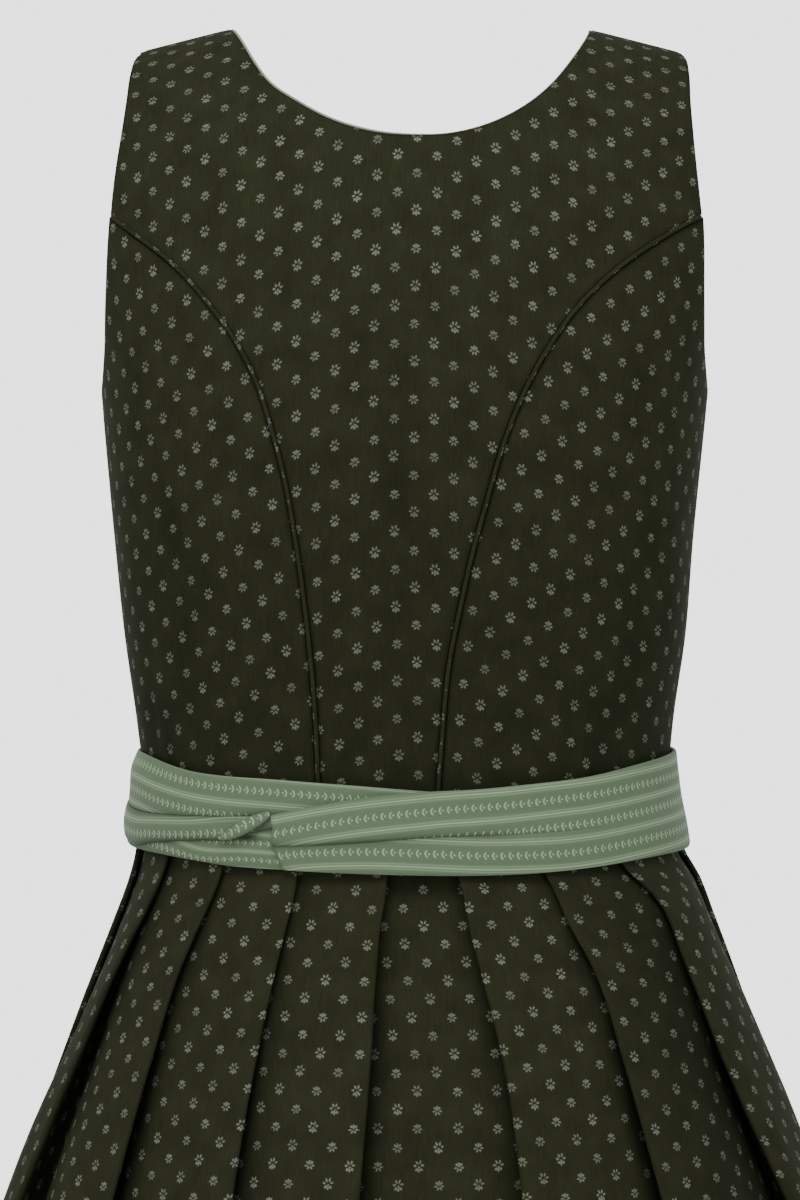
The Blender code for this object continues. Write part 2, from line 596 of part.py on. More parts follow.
def mitred(row, dist):
    """A row of points moved sideways by dist in its own level, corners kept square."""
    d = np.diff(row[:, :2], axis=0)
    length = np.maximum(np.linalg.norm(d, axis=1, keepdims=True), 1e-6)
    n = np.stack([d[:, 1], -d[:, 0]], 1) / length
    a, b = np.vstack([n[:1], n]), np.vstack([n, n[-1:]])
    m = a + b
    size = np.linalg.norm(m, axis=1, keepdims=True)
    m = np.where(size < 0.2, a, m / np.maximum(size, 1e-6))
    dot = np.maximum((m * a).sum(1, keepdims=True), 0.62)
    out = row.copy()
    out[:, :2] += m / dot * dist
    return out


def walls(points, wall):
    outer = np.array([mitred(row, wall / 2) for row in points])
    inner = np.array([mitred(row, -wall / 2) for row in points])
    return outer, inner


def build_skirt():
    grid, tags = skirt_grid()
    pts = skirt_points(grid)
    outer, inner = walls(pts, SKIRT_CLOTH)
    # each side seam is cut halfway between a fold's last face point and its inner crease
    cuts = []
    for k in SIDE_SEAMS:
        at = [i for i, t in enumerate(tags) if t in ((k, 3), (k, 4))]
        cuts.append((min(at), max(at)))
    (l0, l1), (r0, r1) = cuts

    def part(name, first, last, head=None, tail=None):
        o, i = outer[:, first:last + 1], inner[:, first:last + 1]

        def between(a, b, sign):
            length = np.linalg.norm(outer[:, b] - outer[:, a], axis=1)
            share = (0.5 + sign * GAP / 2 / length)[:, None, None]
            return (outer[:, [a]] * (1 - share) + outer[:, [b]] * share,
                    inner[:, [a]] * (1 - share) + inner[:, [b]] * share)
        if head:
            ho, hi = between(*head, 1)
            o, i = np.concatenate([ho, o], 1), np.concatenate([hi, i], 1)
        if tail:
            to, ti = between(*tail, -1)
            o, i = np.concatenate([o, to], 1), np.concatenate([i, ti], 1)
        return shell(name, o, i, GREEN)

    part("skirt_front_left", 0, l0, tail=(l0, l1))
    part("skirt_back", l1, r0, head=(l0, l1), tail=(r0, r1))
    part("skirt_front_right", r1, len(tags) - 1, head=(r0, r1))


# ---------------------------------------------------------------- sash
def sash_base(z, phi, off):
    a, c0 = smooth(SASH_FORM, z, 2), smooth(SASH_FORM, z, 1)
    b = np.where(np.cos(phi) < 0, smooth(SASH_FORM, z, 4), smooth(SASH_FORM, z, 3))
    s, c = np.sin(phi), np.cos(phi)
    x, y = c0 + a * s, -b * c * (1 + 0.1 * s * s)
    dx, dy = a * c, b * s * (1 + 0.1 * s * s) - 0.2 * b * c * c * s
    run = np.hypot(dx, dy)
    return np.stack([x + off * dy / run, y - off * dx / run, z], -1)


def sash_profile(deg, level):
    """Height and stand-off of the sash's middle at deg degrees; level 0..8 goes up
    through the lower roll, lower crease, middle roll, upper crease and top roll."""
    bottom, low, high, top = (smooth(SASH, deg, c) for c in (1, 2, 3, 4))
    r3, r2, r1 = (smooth(SASH, deg, c) for c in (5, 6, 7))
    step = 0.7
    z = [bottom, bottom * 0.5 + low * 0.5, low - step, low + step,
         low * 0.5 + high * 0.5, high - step, high + step,
         high * 0.45 + top * 0.55, top][level]
    c = np.clip((deg - 245) / 20, 0, 1) * np.clip((336 - deg) / 8, 0, 1)
    off = [r3, r3 + 0.4 * c, r3 - 0.2 * c, r2 - 0.1 * c, r2 + 0.5 * c, r2 - 1.2 * c,
           r1 + 0.1 * c, r1 + 0.1 * c, r1 * 0.6 + 0.2 * r2][level]
    return z, off


def build_sash():
    degs = np.r_[np.linspace(-29, 22, 10), np.linspace(32, 250, 18),
                 np.linspace(259, 331, 13), np.linspace(341, 366, 3)]
    rows = []
    for level in range(9):
        z, off = sash_profile(degs, level)
        slant = 2.6 * (1 - level / 8) * np.clip((-18 - degs) / 11, 0, 1)
        phi = np.radians(degs + 0.8 + slant)
        rows.append(sash_base(z, phi, off))
    mid = np.array(rows)
    nrm = sheet_normals(mid)
    shell("sash_band", mid + nrm * SASH_CLOTH / 2, mid - nrm * SASH_CLOTH / 2, SAGE)


def sheet_normals(mid):
    """Unit normals of a grid of points, away from the dress's middle."""
    a, b = np.gradient(mid, axis=1), np.gradient(mid, axis=0)
    n = np.cross(a, b)
    n /= np.linalg.norm(n, axis=-1, keepdims=True)
    out = mid * [1, 1, 0]
    return n * np.sign((n * out).sum(-1))[..., None]


# Rolled fold where the sash is tucked in at the back
TUCK = [
    # degrees, height, half height, half thickness, stand-off of its middle
    (-40.2, -395.4, 0.9, 0.8, 3.7),
    (-38.0, -393.8, 2.3, 1.2, 4.4),
    (-35.6, -391.2, 3.3, 1.6, 4.9),
    (-33.4, -388.4, 3.6, 1.8, 4.9),
    (-31.2, -385.8, 3.1, 1.6, 4.4),
    (-29.6, -383.9, 2.3, 1.2, 3.6),
    (-28.6, -382.8, 1.5, 0.8, 2.9),
]


def build_tuck():
    t = np.array(TUCK)
    mid = sash_base(t[:, 1], np.radians(t[:, 0]), t[:, 4])
    tan = np.gradient(mid, axis=0)
    tan /= np.linalg.norm(tan, axis=1, keepdims=True)
    out = mid * [1, 1, 0] / np.linalg.norm(mid * [1, 1, 0], axis=1, keepdims=True)
    up = np.cross(out, tan)
    up /= np.linalg.norm(up, axis=1, keepdims=True)
    out = np.cross(tan, up)
    verts, faces, sides = [], [], 8
    for i in range(len(t)):
        for a in np.linspace(0, 2 * math.pi, sides, endpoint=False):
            verts.append(mid[i] + up[i] * t[i, 2] * math.cos(a) + out[i] * t[i, 3] * math.sin(a))
    for i in range(len(t) - 1):
        for j in range(sides):
            a, b = i * sides + j, i * sides + (j + 1) % sides
            faces.append((a, b, b + sides, a + sides))
    last = (len(t) - 1) * sides
    faces += [tuple(range(sides))[::-1], tuple(range(last, last + sides))]
    add_mesh("sash_tuck", verts, faces, SAGE)


# ---------------------------------------------------------------- trims
def build_piping():
    for side, place in ((-1, "back"), (1, "front")):
        for sign, hand in ((-1, "left"), (1, "right")):
            line = seam_line(side, sign)
            bottom = waist_uv(side, line[0, 0], line[0, 0], 1)[0]
            line[0] = bottom
            pts = body(side, *line.T)
            nrm = normals(side, line)
            centre = pts + nrm * (PIPING_PROUD - CLOTH / 2)
            cord(f"piping_{place}_{hand}", centre, PIPING_R, GREEN)


def build_facing(grid):
    """Narrow strip inside the back neckline, on the panel's own points, whose edge peeks
    over the neckline on the left."""
    g = grid[-3:, SHOULDER_N:-SHOULDER_N].copy()
    peek = np.interp(np.linspace(0, 1, g.shape[1]), [0, 0.06, 0.45, 0.6, 0.94, 1],
                     [0, 0.9, 0.8, 0.25, 0.25, 0])
    g[-1, :, 1] = np.maximum(g[-1, :, 1] - peek, GAP / 2)
    return panel("neck_facing", -1, [g], PALE, outside=-(CLOTH + GAP), wall=1.0)


def build_placket():
    w0 = uv(1, 0.0, PLACKET_TOP_Z)[1]
    w1 = uv(1, 0.0, PLACKET_FOOT_Z)[1]
    ws = np.linspace(w0, w1, 12)
    reach = math.asin(PLACKET_W / 2 / FRONT_HALF)
    psi = np.linspace(-reach, reach, 5)
    g = np.stack(np.meshgrid(psi, ws), -1)
    panel("front_placket", 1, [g], GREEN, outside=PLACKET_LIFT + CLOTH, wall=CLOTH)
    for i in range(BUTTONS):
        w = w0 + (w1 - w0) * (i + 0.5) / BUTTONS
        at = np.array([[0.0, w]])
        p, n = body(1, *at.T)[0], normals(1, at)[0]
        across = np.array([1.0, 0, 0])
        up = np.cross(across, n)
        start = p + n * (PLACKET_LIFT + CLOTH + GAP)
        profile = [(0.0, 0.9), (0.4, 1.0), (1.0, 0.8), (0.8, 0.5)]
        verts, faces, seg = [], [], 12
        for lift, r in profile:
            for a in np.linspace(0, 2 * math.pi, seg, endpoint=False):
                verts.append(start + n * lift * BUTTON_T
                             + BUTTON_R * r * (across * math.cos(a) + up * math.sin(a)))
        for j in range(len(profile) - 1):
            for s in range(seg):
                a, b = j * seg + s, j * seg + (s + 1) % seg
                faces.append((a, b, b + seg, a + seg))
        faces += [tuple(range(seg))[::-1],
                  tuple(range((len(profile) - 1) * seg, len(profile) * seg))]
        add_mesh(f"button_{i + 1}", verts, faces, HORN, 0.4)


# ---------------------------------------------------------------- assembly
# Colours of the viewport
GREEN = (0.029, 0.032, 0.017)
SAGE = (0.15, 0.20, 0.125)
PALE = (0.42, 0.44, 0.36)
HORN = (0.10, 0.085, 0.05)

for old in list(bpy.data.objects):
    bpy.data.objects.remove(old)
DRESS = bpy.data.collections.new("dirndl_dress")
bpy.context.scene.collection.children.link(DRESS)

back = centre_back_grid()
panel("bodice_back_centre", -1, [back], GREEN)
for hand_name, hand_sign in (("left", -1), ("right", 1)):
    panel(f"bodice_back_side_{hand_name}", -1, [side_grid(-1, hand_sign)], GREEN)
    panel(f"bodice_front_side_{hand_name}", 1, [side_grid(1, hand_sign)], GREEN)
    panel(f"bodice_front_{hand_name}", 1, front_grid(hand_sign), GREEN)
build_piping()
build_facing(back)
build_placket()
build_skirt()
build_sash()
build_tuck()
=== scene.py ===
"""Dirndl dress: the finish of every cloth piece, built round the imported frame.

Sizes in the tables are millimetres; meshes are metres. X runs across the dress, Z is up
and the wearer's back faces -Y. The origin lies between the two shoulder straps.
"""

import math

import bpy
import numpy as np
from bpy.props import (FloatProperty, FloatVectorProperty, IntProperty,
                       PointerProperty)
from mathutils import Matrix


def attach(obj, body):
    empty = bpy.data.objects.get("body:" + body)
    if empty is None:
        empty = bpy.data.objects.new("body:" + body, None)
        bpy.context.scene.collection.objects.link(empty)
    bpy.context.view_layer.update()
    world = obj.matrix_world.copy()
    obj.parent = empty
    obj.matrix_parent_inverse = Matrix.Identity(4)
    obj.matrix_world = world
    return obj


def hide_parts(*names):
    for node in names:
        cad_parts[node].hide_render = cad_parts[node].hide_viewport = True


bl_info = {
    "name": "Dirndl dress",
    "version": (1, 0, 0),
    "blender": (4, 5, 0),
    "location": "3D View > Sidebar > Dirndl",
    "description": "Printed cotton dirndl dress with a woven sash and knife pleats",
    "category": "Object",
}

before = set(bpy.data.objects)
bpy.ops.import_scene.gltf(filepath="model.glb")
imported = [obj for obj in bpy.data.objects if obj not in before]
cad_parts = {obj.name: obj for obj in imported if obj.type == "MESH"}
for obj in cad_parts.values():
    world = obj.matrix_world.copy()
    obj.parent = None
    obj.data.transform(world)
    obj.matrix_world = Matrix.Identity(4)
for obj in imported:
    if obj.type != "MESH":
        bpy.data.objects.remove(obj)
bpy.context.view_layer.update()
MM = 0.001
ROOT = "root"

# ------------------------------------------------------------------ the cut, millimetres
CLOTH = 1.2             # bodice wall
SKIRT_CLOTH = 1.0
SASH_CLOTH = 1.6        # doubled
FACING_CLOTH = 1.0
GAP = 0.3               # between one sewn piece and the next
EDGE_DIP = 0.5          # how far a panel's edge sinks where it turns a seam
ALLOWANCE = 6.0         # half width of a seam allowance
ALLOWANCE_WALL = 0.5
WAIST_Z = -388.0
HEM_Z = -1050.0
HEM_LINE_Z = -1026.0    # height of the hem's stitches
PIPING_R = 1.1
PIPING_PROUD = 0.45     # how far the cord's middle stands off the panels'
PIPING_END = 0.9925     # share of the seam where the cord ends under the armhole
BUTTON_R = 6.0
BUTTONS = 7
PLACKET_W = 22.0
PLACKET_TOP_Z, PLACKET_FOOT_Z = -148.5, -356.5
PLACKET_LIFT = 0.7      # of its underside off the panels
FRONT_HALF = 128.0      # half width that the front's section turns through there
ARCH = {-1: 110.0, 1: 100.0}    # how far the cloth runs over the shoulder, by side
NECK_POINT = 91.0
SHOULDER_Z = 6.6
SHOULDER_SLOPE = 0.26
YOKE_RISE = 12.0
BUST = (80.0, 46.0, -205.0, 58.0, 12.0)     # x, half width, z, half height, how full
SEAM_ANGLE = 0.0012     # from a side or middle seam to the cloth's edge, radians
STRAP_SHARE = 3 / 22    # of the back panel's columns that end on one shoulder
BACK_COLUMNS = 96
FOOT_COLUMNS = 4 / 9    # share of the front panel's columns below the neckline's foot
REPEAT = 13.2           # of the sash's weave

# Figure the bodice is cut to: height, centre offset, half width, back depth, front depth,
# squareness of the section
BODY = np.array([
    [30, 0.5, 152, 70, 62, 0.20],
    [0, 0.5, 156, 76, 72, 0.20],
    [-40, 0.3, 160, 86, 84, 0.22],
    [-90, 0.0, 162, 97, 101, 0.22],
    [-130, -1.2, 159, 103, 116, 0.22],
    [-165, -2.0, 154.6, 105, 126, 0.20],
    [-200, -2.4, 151.4, 104, 131, 0.18],
    [-250, -2.6, 146.6, 100, 128, 0.16],
    [-300, -2.0, 142.2, 95, 117, 0.13],
    [-345, -2.0, 136, 92, 106, 0.11],
    [-388, -1.0, 132.5, 91, 101, 0.10],
    [-420, 0.0, 134, 93, 102, 0.10],
], float)

# Back neckline from the left neck point to the right one: x, z
BACK_NECK = [
    (-90.0, 6.6), (-86.8, 2.9), (-82.3, -4.0), (-77.5, -12.0), (-69.3, -23.0),
    (-55.2, -32.9), (-39.4, -41.5), (-17.8, -48.1), (2.0, -49.8), (18.9, -49.1),
    (34.6, -45.6), (50.9, -38.5), (63.9, -29.7), (72.6, -21.4), (79.8, -12.5),
    (87.3, -1.7), (91.8, 6.4),
]
# Back armhole from the princess seam up to the shoulder: x left, x right, z
BACK_ARM = [
    (-149.0, 145.9, -88.5), (-147.8, 144.5, -76.0), (-145.9, 143.0, -61.0),
    (-143.6, 141.8, -46.0), (-141.6, 140.9, -30.7), (-139.8, 140.6, -16.0),
    (-137.6, 139.4, -8.6), (-134.0, 136.6, -4.9),
]
# Back princess seams, armhole to waist: x, z
BACK_SEAM_LEFT = [
    (-149.0, -88.5), (-135.9, -98.0), (-118.9, -110.6), (-105.9, -123.4),
    (-95.4, -136.1), (-86.5, -148.3), (-74.3, -171.6), (-67.9, -191.6),
    (-62.1, -213.1), (-55.6, -248.8), (-50.8, -284.7), (-46.8, -326.6),
    (-44.9, -367.6), (-44.3, -388.0),
]
BACK_SEAM_RIGHT = [
    (145.9, -88.5), (134.6, -94.1), (123.3, -100.7), (101.6, -115.6), (85.2, -130.7),
    (68.0, -153.6), (55.8, -176.0), (45.6, -201.8), (37.9, -228.6), (30.9, -254.1),
    (24.8, -281.6), (19.9, -306.2), (15.9, -347.0), (13.2, -388.0),
]
# Lower armhole from the princess seam to the side seam: share of the way, height
BACK_UNDERARM = [(0.0, -88.5), (0.12, -118.0), (0.3, -146.0), (0.55, -165.0),
                 (0.8, -173.5), (1.0, -176.0)]
FRONT_UNDERARM = [(0.0, -104.0), (0.12, -128.0), (0.3, -150.0), (0.55, -166.0),
                  (0.8, -173.5), (1.0, -176.0)]
# Front neckline, armhole and princess seam on the +X side: x, z
FRONT_NECK = [
    (0.0, -147.0), (16.0, -146.2), (31.0, -142.8), (45.0, -135.5), (56.5, -124.0),
    (65.5, -109.0), (72.5, -91.0), (78.5, -68.0), (83.5, -44.0), (87.5, -20.0),
    (90.9, 6.5),
]
FRONT_ARM = [
    (135.0, -104.0), (132.8, -84.0), (132.0, -64.0), (132.2, -44.0), (133.2, -26.0),
    (134.6, -13.0), (135.6, -7.0), (135.8, -4.9),
]
FRONT_SEAM = [
    (135.0, -104.0), (124.0, -118.0), (112.0, -136.0), (101.0, -157.0),
    (92.5, -181.0), (86.5, -206.0), (80.5, -235.0), (73.0, -266.0), (65.0, -299.0),
    (58.0, -334.0), (53.5, -362.0), (51.0, -388.0),
]
FRONT_FOOT = 4 / 12     # share of the front neckline below the strap

# Skirt: height, centre offset, half width over the folds, back depth, front depth,
# squareness, fold height, share of a fold's width under the next, relaxed 0 to 1
SKIRT = np.array([
    [-388.3, -1.0, 138.2, 96.8, 106.5, 0.10, 7.2, 0.86, 0.00],
    [-407.0, 0.0, 139.7, 98.3, 108.0, 0.10, 7.4, 0.84, 0.00],
    [-424.0, 3.0, 146.6, 104.5, 113.5, 0.09, 8.0, 0.80, 0.10],
    [-440.0, 3.6, 152.8, 111.5, 119.5, 0.08, 9.0, 0.72, 0.25],
    [-458.0, 4.2, 160.0, 120.0, 127.0, 0.07, 10.6, 0.62, 0.40],
    [-482.0, 4.8, 169.6, 131.0, 137.5, 0.06, 12.6, 0.53, 0.60],
    [-512.0, 5.0, 180.6, 144.0, 149.5, 0.05, 14.6, 0.45, 0.80],
    [-548.0, 4.6, 193.2, 158.0, 162.0, 0.04, 16.4, 0.38, 1.00],
    [-588.0, 4.2, 207.0, 172.0, 175.0, 0.03, 18.2, 0.32, 1.00],
    [-660.0, 4.0, 229.0, 194.0, 196.0, 0.02, 22.0, 0.22, 1.00],
    [-760.0, 3.5, 257.0, 221.0, 223.0, 0.01, 27.0, 0.10, 1.00],
    [-860.0, 3.0, 283.0, 246.0, 248.0, 0.00, 31.0, 0.01, 1.00],
    [-960.0, 2.5, 307.0, 268.0, 270.0, 0.00, 34.0, -0.06, 1.00],
    [HEM_Z, 2.0, 325.0, 285.0, 287.0, 0.00, 36.0, -0.10, 1.00],
], float)
# Each fold's pressed edge, degrees from the centre back at these heights, and its height
EDGE_Z = [-388.3, -411.0, -430.0, -458.0, -500.0, -588.0, -1050.0]
EDGES = [
    (-157.0, -157.3, -157.8, -158.5, -160.0, -163.0, -169.0, 1.00),
    (-140.0, -140.2, -140.4, -141.0, -142.0, -144.5, -149.5, 0.94),
    (-121.5, -121.8, -122.2, -123.0, -124.0, -126.5, -130.0, 1.06),
    (-101.5, -101.7, -102.2, -103.5, -105.0, -108.0, -110.0, 0.98),
    (-79.6, -80.4, -82.2, -85.0, -87.6, -93.0, -93.0, 1.05),
    (-58.4, -61.4, -64.0, -67.9, -70.2, -74.2, -72.0, 1.30),
    (-40.0, -42.5, -45.0, -48.0, -49.0, -49.0, -48.0, 1.10),
    (-22.5, -24.1, -25.5, -26.9, -28.0, -27.9, -27.5, 0.96),
    (-3.8, -5.1, -6.9, -7.9, -8.4, -9.1, -8.5, 0.90),
    (9.2, 10.0, 10.1, 11.8, 14.1, 15.7, 15.0, 0.94),
    (27.6, 28.8, 30.0, 33.7, 35.3, 37.8, 37.0, 1.06),
    (47.4, 50.0, 56.2, 57.0, 57.6, 64.6, 63.0, 1.25),
    (91.0, 92.0, 93.5, 95.0, 96.0, 98.0, 95.0, 0.66),
    (112.0, 112.5, 113.2, 114.5, 116.5, 120.0, 119.0, 0.96),
    (132.5, 132.8, 133.2, 134.0, 135.5, 138.5, 142.0, 1.06),
    (152.0, 152.3, 152.8, 153.8, 155.5, 159.0, 167.5, 1.00),
]
FIRST_RIGHT = 9
SIDE_SEAMS = (4, 12)

# Sash: degrees from the centre back, bottom edge, lower crease, upper crease, top edge,
# then how far the lower, middle and upper rolls stand off the waist
SASH = np.array([
    [-29.0, -409.6, -398.0, -390.0, -383.5, 2.4, 3.5, 3.5],
    [-20.0, -410.2, -397.0, -388.0, -378.8, 2.4, 3.4, 3.4],
    [-8.0, -411.0, -395.0, -385.0, -373.8, 2.4, 3.3, 3.3],
    [4.0, -411.6, -393.0, -383.0, -371.2, 2.4, 3.0, 3.0],
    [13.0, -411.8, -392.4, -382.0, -370.4, 2.1, 2.4, 2.4],
    [24.0, -411.4, -392.0, -381.0, -368.6, 1.3, 1.4, 1.4],
    [38.0, -409.8, -391.0, -379.5, -366.2, 0.4, 0.4, 0.4],
    [56.0, -407.2, -389.0, -377.0, -361.4, 0.0, 0.0, 0.0],
    [75.0, -406.4, -387.5, -375.0, -358.6, 0.0, 0.0, 0.0],
    [110.0, -406.6, -388.0, -375.0, -358.6, 0.0, 0.0, 0.0],
    [145.0, -408.0, -389.0, -376.0, -360.0, 0.0, 0.0, 0.0],
    [180.0, -409.0, -390.0, -377.0, -361.0, 0.0, 0.0, 0.0],
    [215.0, -408.4, -390.0, -377.0, -360.4, 0.1, 0.2, 0.2],
    [250.0, -406.6, -393.0, -379.0, -359.0, 0.3, 0.8, 0.6],
    [272.0, -405.2, -400.0, -384.6, -358.2, 0.3, 1.7, 1.2],
    [285.0, -405.0, -403.0, -386.4, -358.4, 0.3, 2.4, 1.6],
    [298.0, -405.6, -399.6, -386.4, -361.4, 0.3, 2.2, 1.5],
    [312.0, -407.4, -396.8, -385.8, -364.6, 0.3, 1.8, 1.2],
    [320.0, -408.8, -395.6, -385.2, -365.6, 0.2, 1.6, 0.9],
    [327.0, -409.4, -391.4, -384.4, -366.0, 0.0, 0.9, 0.3],
    [332.0, -409.6, -390.2, -384.0, -366.4, 0.0, 0.0, 0.0],
    [345.0, -408.0, -393.6, -384.0, -368.0, 0.0, 0.0, 0.0],
    [366.0, -407.0, -393.0, -384.0, -371.8, 0.0, 0.0, 0.0],
], float)
# Size of the sash's middle surface: height, centre, half width, back, front
SASH_FORM = np.array([
    [-340.0, -2.0, 137.4, 94.6, 108.0],
    [-362.0, -1.8, 137.2, 95.0, 106.4],
    [-379.0, -1.2, 138.6, 96.8, 107.4],
    [-394.0, -0.6, 141.2, 99.4, 110.0],
    [-411.0, 0.6, 141.9, 100.8, 110.8],
    [-430.0, 1.0, 142.4, 101.6, 111.4],
], float)
# Rolled fold where the sash is tucked in: degrees, height, half height, half thickness,
# stand-off of its middle
TUCK = np.array([
    (-40.2, -395.4, 0.9, 0.8, 3.7), (-38.0, -393.8, 2.3, 1.2, 4.4),
    (-35.6, -391.2, 3.3, 1.6, 4.9), (-33.4, -388.4, 3.6, 1.8, 4.9),
    (-31.2, -385.8, 3.1, 1.6, 4.4), (-29.6, -383.9, 2.3, 1.2, 3.6),
    (-28.6, -382.8, 1.5, 0.8, 2.9),
])
# How the weave lies: degrees, first leaf row below the top edge, cloth swallowed by the
# upper crease and by the lower one
WEAVE = np.array([
    (-29.0, 9.1, 0.0, 16.2), (-8.0, 10.0, 0.0, 10.0), (3.0, 9.6, 0.0, 6.0),
    (11.0, 8.6, 0.0, 3.5), (20.0, 9.0, 0.0, 2.0), (30.0, 8.6, 0.0, 0.0),
    (40.0, 8.9, 0.0, 0.0), (55.0, 10.1, 0.0, 0.0), (75.0, 10.7, 0.0, 0.0),
    (180.0, 9.5, 0.0, 0.0), (250.0, 4.6, -4.0, 4.0), (287.0, 4.6, -8.1, 9.5),
    (294.6, 4.8, -4.5, 8.8), (303.0, 5.0, -1.5, 5.5), (306.5, 5.1, 0.0, 3.9),
    (314.6, 5.3, 2.8, 0.0), (320.6, 5.5, 5.8, 0.0), (332.0, 6.0, 6.0, 0.0),
    (366.0, 6.5, 6.0, 0.0),
])

# Soft troughs and swells pressed into the bodice: side, depth (+ out), half width, and
# the line they follow as x, z
CREASES = [
    (-1, -1.3, 9.0, [(-7, -110), (-6, -160), (-4, -230), (-4, -300)]),
    (-1, -1.5, 6.5, [(-131, -205), (-121, -238), (-112, -285), (-108, -335)]),
    (-1, 1.0, 7.0, [(-143, -230), (-136, -275), (-127, -330)]),
    (-1, -1.4, 7.0, [(122, -245), (113, -290), (103, -330), (98, -366)]),
    (-1, 1.1, 8.0, [(136, -215), (130, -270), (122, -330)]),
    (-1, -1.5, 3.2, [(-122, -326), (-118, -372)]),
    (-1, -1.5, 3.2, [(-130, -322), (-126, -368)]),
    (-1, -1.5, 3.4, [(92, -330), (92, -378)]),
    (-1, 0.8, 12.0, [(-78, -70), (-60, -95), (-30, -118)]),
    (-1, 0.8, 12.0, [(80, -66), (62, -92), (36, -116)]),
    (-1, -0.8, 9.0, [(-112, -60), (-92, -100), (-84, -138)]),
    (-1, -0.8, 9.0, [(112, -62), (92, -102), (70, -134)]),
    (-1, -0.7, 5.0, [(-30, -330), (-32, -384)]),
    (-1, -0.7, 5.0, [(-2, -335), (-3, -384)]),
    (-1, 0.7, 7.0, [(55, -300), (52, -350), (50, -384)]),
    (1, -1.4, 8.0, [(46, -240), (42, -290), (40, -350)]),
    (1, -1.2, 7.0, [(-50, -236), (-44, -292), (-40, -352)]),
    (1, -1.3, 7.0, [(118, -150), (110, -200), (104, -260)]),
    (1, -1.2, 7.0, [(-116, -148), (-111, -200), (-106, -262)]),
    (1, -1.0, 4.0, [(84, -320), (80, -372)]),
    (1, -1.0, 4.0, [(-82, -318), (-79, -372)]),
    (1, 0.9, 9.0, [(100, -300), (94, -350)]),
    (1, 0.9, 9.0, [(-102, -300), (-95, -350)]),
]


# ------------------------------------------------------------------ what a user changes
class DressSizes(bpy.types.PropertyGroup):
    column: FloatProperty(name="Print column", description="Between two columns of sprigs",
                          default=9.75 * MM, unit="LENGTH")
    row: FloatProperty(name="Print row", description="Between two rows of sprigs",
                       default=9.2 * MM, unit="LENGTH")
    sprig: FloatProperty(name="Sprig scale", description="Size of a sprig of the print",
                         default=1.0, subtype="FACTOR")
    weave_repeat: FloatProperty(name="Sash repeat", description="Between two leaf rows",
                                default=REPEAT * MM, unit="LENGTH")
    leaf_pitch: FloatProperty(name="Leaf pitch", description="Between two woven leaves",
                              default=4.1 * MM, unit="LENGTH")
    stitch: FloatProperty(name="Stitch", description="Length of one stitch",
                          default=2.6 * MM, unit="LENGTH")
    thread: FloatProperty(name="Thread", description="Radius of the sewing thread",
                          default=0.22 * MM, unit="LENGTH")
    detail: IntProperty(name="Rows per repeat", description="Mesh rows between table rows",
                        default=4, min=1, max=8)


def linear(hexa):
    """An sRGB hex colour as linear red, green and blue."""
    out = []
    for i in (0, 2, 4):
        v = int(hexa[i:i + 2], 16) / 255
        out.append(v / 12.92 if v <= 0.04045 else ((v + 0.055) / 1.055)**2.4)
    return tuple(out)


def colour(name, description, hexa):
    """A colour that a user can change, with its sRGB hex as the default."""
    return FloatVectorProperty(name=name, description=description, default=linear(hexa),
                               subtype="COLOR", min=0, max=1)


class DressColours(bpy.types.PropertyGroup):
    cotton: colour("Cotton", "Printed cotton's ground", "2c2f1e")
    cotton_low: colour("Cotton, dark", "Where the cotton's ground took more dye", "212316")
    cotton_wrong: colour("Cotton, inside", "Wrong side of the cotton", "313426")
    sprig: colour("Sprig", "Printed sprigs", "6e7367")
    sash_ground: colour("Sash ground", "Weave between the rows", "576851")
    sash_band: colour("Sash band", "Pale band that carries the stripes", "697c63")
    sash_leaf: colour("Sash leaf", "Woven leaves and stripes", "98aa8c")
    facing: colour("Facing", "Cotton of the neck facing", "8f9380")
    facing_low: colour("Facing, dark", "Slubs of the facing", "74786a")
    horn: colour("Horn", "Dark streaks of the buttons", "31251a")
    horn_pale: colour("Horn, pale", "Pale streaks of the buttons", "564329")
    thread: colour("Thread", "Sewing thread", "3a3d2e")
    thread_pale: colour("Thread, pale", "Lit ply of the sewing thread", "585b49")
    floor: colour("Floor", "Studio paper", "f2f1ee")


# ------------------------------------------------------------------ curves and surfaces
def smooth(table, z, col):
    """A table's column at height z, by a cubic through its rows."""
    rows = table[::-1] if table[0, 0] > table[-1, 0] else table
    keys, vals = rows[:, 0], rows[:, col]
    z = np.clip(np.asarray(z, float), keys[0], keys[-1])
    slope = np.gradient(vals, keys)
    i = np.clip(np.searchsorted(keys, z) - 1, 0, len(keys) - 2)
    h = keys[i + 1] - keys[i]
    u = (z - keys[i]) / h
    return ((2 * u**3 - 3 * u**2 + 1) * vals[i] + (u**3 - 2 * u**2 + u) * h * slope[i]
            + (-2 * u**3 + 3 * u**2) * vals[i + 1] + (u**3 - u**2) * h * slope[i + 1])


def run_of(points):
    """How far along a line each of its points lies."""
    return np.r_[0, np.cumsum(np.linalg.norm(np.diff(points, axis=0), axis=1))]


def along(points, shares):
    """Points at the given shares of a line's length, by a cubic through its corners."""
    pts = np.asarray(points, float)
    run = run_of(pts)
    at = np.asarray(shares, float) * run[-1]
    return np.stack([smooth(np.c_[run, pts[:, c]], at, 1) for c in range(pts.shape[1])], 1)


def ridge(x):
    """Height of the shoulder line above a point across the dress."""
    reach = np.minimum(np.sqrt(np.asarray(x, float)**2 + 900) - 3, 147)
    return SHOULDER_Z + SHOULDER_SLOPE * (NECK_POINT - reach)


def body_x(z, psi):
    """How far across the figure its section at height z lies at psi."""
    return smooth(BODY, z, 1) + smooth(BODY, z, 2) * np.sin(psi)


